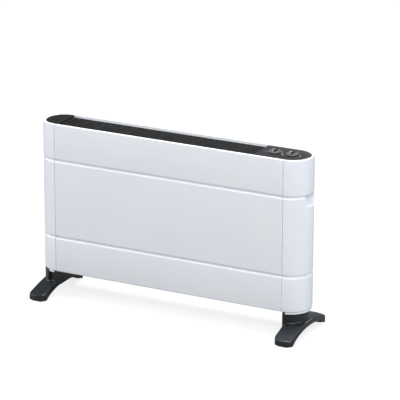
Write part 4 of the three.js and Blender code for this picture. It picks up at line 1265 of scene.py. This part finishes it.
@dataclass
class Fixings:
    """Screws, wall hangers and the gland on the rear."""

    shop: Paintshop
    head_radius: float = 0.004
    head_height: float = 0.0026
    shank_radius: float = 0.002
    gland_x: float = 0.287
    gland_z: float = 0.1005
    rear: float = 0.0525

    def screw(self, length: float) -> Piece:
        """Builds a pan-head screw with a cross recess, its head above Z = 0."""
        head = disc("screw", Vector((0, 0, 0)), self.head_radius, self.head_height, 32)
        crown = self.head_height - NEAR
        rounded_edges(head, lambda a, b: a.z > crown and b.z > crown, 1.3 * MM, 5)
        for long, short in ((2.1 * MM, 0.45 * MM), (0.45 * MM, 2.1 * MM)):
            low = Vector((-long, -short, self.head_height - 1.3 * MM))
            high = Vector((long, short, self.head_height + MM))
            combine(head, block("slot", low, high), "DIFFERENCE")
        shank = disc("shank", Vector((0, 0, -length)), self.shank_radius, length + MM / 2, 20)
        combine(head, shank, "UNION")
        return softened(head, 0.12 * MM, 2, 50)

    def gland(self) -> Piece:
        """Builds the ribbed cord gland with its bore open."""
        profile = [(4.0, -9, 0), (7.5, -9, 0.5), (7.5, 0.4, 0), (11.0, 0.4, 0.3),
                   (11.0, 2.4, 0.9), (8.6, 2.9, 0.5)]
        for rib in (3.4, 5.1):
            profile += [(8.3, rib, 0.2), (8.1, rib + 0.8, 0.2), (7.2, rib + 0.9, 0.15),
                        (7.2, rib + 1.5, 0.15)]
        profile += [(7.4, 7.4, 0.5), (4.0, 7.4, 0.6)]
        corners = [(out * MM, self.rear + back * MM, fillet * MM) for out, back, fillet in profile]
        outline = [Vector((self.gland_x + u, v, self.gland_z)) for u, v in rounded(corners, 3)]
        centre = Vector((self.gland_x, 0, self.gland_z))
        return smoothed(spun(drawn("cord_bush", outline), centre, Vector((0, 1, 0)), math.tau, 48))

    def build(self) -> None:
        """Builds and dresses the fixings."""
        rearward = Matrix.Rotation(-math.pi / 2, 4, "X")
        downward = Matrix.Rotation(math.pi, 4, "X")
        groups = (("hanger_screw", 9 * MM, rearward), ("cap_screw", 8 * MM, rearward),
                  ("foot_screw", 34 * MM, downward))
        for kind, length, turn in groups:
            model = self.screw(length)
            for node in sorted(n for n in frame["nodes"] if kind in n):
                low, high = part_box(node)
                seat = (low + high) / 2
                if turn is rearward:
                    seat.y = high.y - self.head_height
                else:
                    seat.z = low.z + self.head_height
                tilt = Matrix.Rotation(0.6 * len(node) + low.x * 7, 4, "Z")
                name = node.replace("screw", "fixing")
                piece = copied(model, name, Matrix.Translation(seat) @ turn @ tilt)
                self.shop.dress(piece, STEEL, node)
            bpy.data.objects.remove(model, do_unlink=True)
        for end in ("left", "right"):
            plate = softened(node_copy(f"{end}_wall_hanger", f"{end}_keyhole_plate"), 0.35 * MM)
            self.shop.dress(plate, ZINC, f"{end}_wall_hanger")
        self.shop.dress(self.gland(), BLACK, "cord_gland")


# ---------------------------------------------------------------- inside


@dataclass
class Inside:
    """The CAD nodes that stay: the hot space, switches, shafts and wiring."""

    shop: Paintshop
    rules: tuple[tuple[str, Finish], ...] = (
        ("fins", ALUMINIUM), ("sheath", STEEL), ("shaft", STEEL), ("bush", CERAMIC),
        ("cutout", CERAMIC), ("frame", ZINC), ("shield", ZINC), ("bracket", ZINC),
        ("element_lead", BLUE), ("_lead", RED), ("_body", BROWN), ("terminal", CAP),
    )

    def build(self) -> None:
        """Gives every CAD node that is still shown its procedural finish."""
        for name, node in frame["nodes"].items():
            if not node.hide_render:
                finish = next((finish for key, finish in self.rules if key in name), BLACK)
                self.shop.paint(node, finish)
                log.info("%s: CAD node in %s", name, finish.name)


# ---------------------------------------------------------------- studio


@dataclass(frozen=True)
class Lamp:
    """A soft square lamp that looks at the heater, its power in watts."""

    name: str
    place: tuple[float, float, float]
    size: float
    power: float
    colour: tuple[float, float, float] = WHITE[:3]

    def hang(self) -> None:
        """Adds the lamp."""
        data = bpy.data.lights.new(self.name, "AREA")
        data.size = self.size
        data.energy = self.power
        data.color = self.colour
        lamp = bpy.data.objects.new(self.name, data)
        aim = Vector((0, 0, 0.25)) - Vector(self.place)
        turn = aim.to_track_quat("-Z", "Y").to_matrix().to_4x4()
        lamp.matrix_world = Matrix.Translation(self.place) @ turn
        bpy.context.scene.collection.objects.link(lamp)


@dataclass
class Studio:
    """Camera, floor, lamps and world."""

    place: tuple[float, float, float] = (3.04214, -5.88055, 2.52236)
    azimuth: float = 26.857
    pitch: float = 18.658
    roll: float = 0.167
    lens: float = 258.299
    world_light: float = 0.2
    floor_light: float = 0.78
    floor_shade: float = 0.26
    floor_side: float = 60
    lamps: tuple[Lamp, ...] = (
        Lamp("top", (0, 0, 4.0), 2.0, 182),
        Lamp("key", (2.4, -2.6, 3.2), 1.8, 104, (1.0, 0.995, 0.985)),
        Lamp("left_front", (-3.2, -2.4, 1.8), 1.8, 54, (0.97, 0.98, 1.0)),
        Lamp("left", (-4.0, -0.6, 1.6), 1.6, 50, (1.0, 1.0, 0.99)),
        Lamp("right", (4.0, -0.8, 1.6), 1.4, 42),
        Lamp("back", (0.5, 2.8, 2.4), 1.6, 30),
    )

    def camera(self) -> None:
        """Adds the camera at the photograph's angle."""
        data = bpy.data.cameras.new("camera")
        data.lens = self.lens
        data.sensor_width = 36
        data.clip_start = 0.1
        data.clip_end = 200
        camera = bpy.data.objects.new("camera", data)
        turn = Matrix.Rotation(math.radians(self.azimuth), 4, "Z")
        tilt = Matrix.Rotation(math.radians(90 - self.pitch), 4, "X")
        roll = Matrix.Rotation(math.radians(self.roll), 4, "Z")
        camera.matrix_world = Matrix.Translation(self.place) @ turn @ tilt @ roll
        bpy.context.scene.collection.objects.link(camera)
        bpy.context.scene.camera = camera

    def world(self) -> None:
        """Sets a soft even world that shows white behind the heater."""
        world = bpy.data.worlds.new("studio")
        world.use_nodes = True
        bpy.context.scene.world = world
        graph = Graph(world.node_tree)
        soft = graph.tree.nodes["Background"]
        graph.feed(soft, {"Color": (0.97, 0.98, 1.0, 1), "Strength": self.world_light})
        white = graph.node("Background", {"Color": WHITE, "Strength": 1.0})
        seen = graph.node("LightPath").outputs["Is Camera Ray"]
        mix = graph.node("MixShader", {0: seen, 1: soft.outputs[0], 2: white.outputs[0]})
        graph.feed(graph.tree.nodes["World Output"], {"Surface": mix.outputs[0]})

    def floor(self) -> None:
        """Adds the pale floor, which can't be seen from below."""
        only()
        bpy.ops.mesh.primitive_plane_add(size=self.floor_side, location=(0, 0, -NEAR))
        floor = bpy.context.object
        floor.name = "floor"
        coat = Coat("pale_floor")
        shade = (self.floor_shade, self.floor_shade, self.floor_shade, 1)
        coat.feed(coat.shader, {"Base Color": shade, "Roughness": 0.9, "Specular IOR Level": 0.1})
        seen = coat.node("LightPath").outputs["Is Camera Ray"]
        glow = coat.node("Emission", {"Strength": coat.maths("MULTIPLY", seen, self.floor_light)})
        both = coat.node("AddShader", {0: coat.shader.outputs[0], 1: glow.outputs[0]})
        clear = coat.node("BsdfTransparent")
        below = coat.node("NewGeometry").outputs["Backfacing"]
        mix = coat.node("MixShader", {0: below, 1: both.outputs[0], 2: clear.outputs[0]})
        coat.feed(coat.tree.nodes["Material Output"], {"Surface": mix.outputs[0]})
        floor.data.materials.append(coat.material)

    def build(self) -> None:
        """Builds the studio."""
        bpy.context.scene.view_settings.view_transform = "Standard"
        self.camera()
        self.world()
        self.floor()
        for lamp in self.lamps:
            lamp.hang()
        log.info("studio: camera, floor, world and %d lamps", len(self.lamps))


def main() -> None:
    """Builds the heater's looks in order."""
    logging.basicConfig(level=logging.INFO, format="%(name)s: %(message)s")
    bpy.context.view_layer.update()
    Studio().build()
    shop = Paintshop()
    Casing(shop).build()
    TopPlates(shop).build()
    Grille(
        shop, "top_grille", "outlet_grille", start=-0.3081, end=0.2256, half_depth=0.0446,
        low=0.4355, high=0.4415, frame=0.004, bays=6, rib=0.003, rows=11, slat=0.003,
        rib_drop=0.0011,
    ).build()
    Grille(
        shop, "bottom_grille", "inlet_grille", start=-0.3105, end=0.3105, half_depth=0.047,
        low=0.0685, high=0.071, frame=0.010, bays=35, rib=0.005,
    ).build()
    Knob(shop, "thermostat", Body.THERMOSTAT, 0.263).build()
    Knob(shop, "selector", Body.SELECTOR, 0.308).build()
    Feet(shop).build()
    Fixings(shop).build()
    Inside(shop).build()


if __name__ == "__main__":
    main()
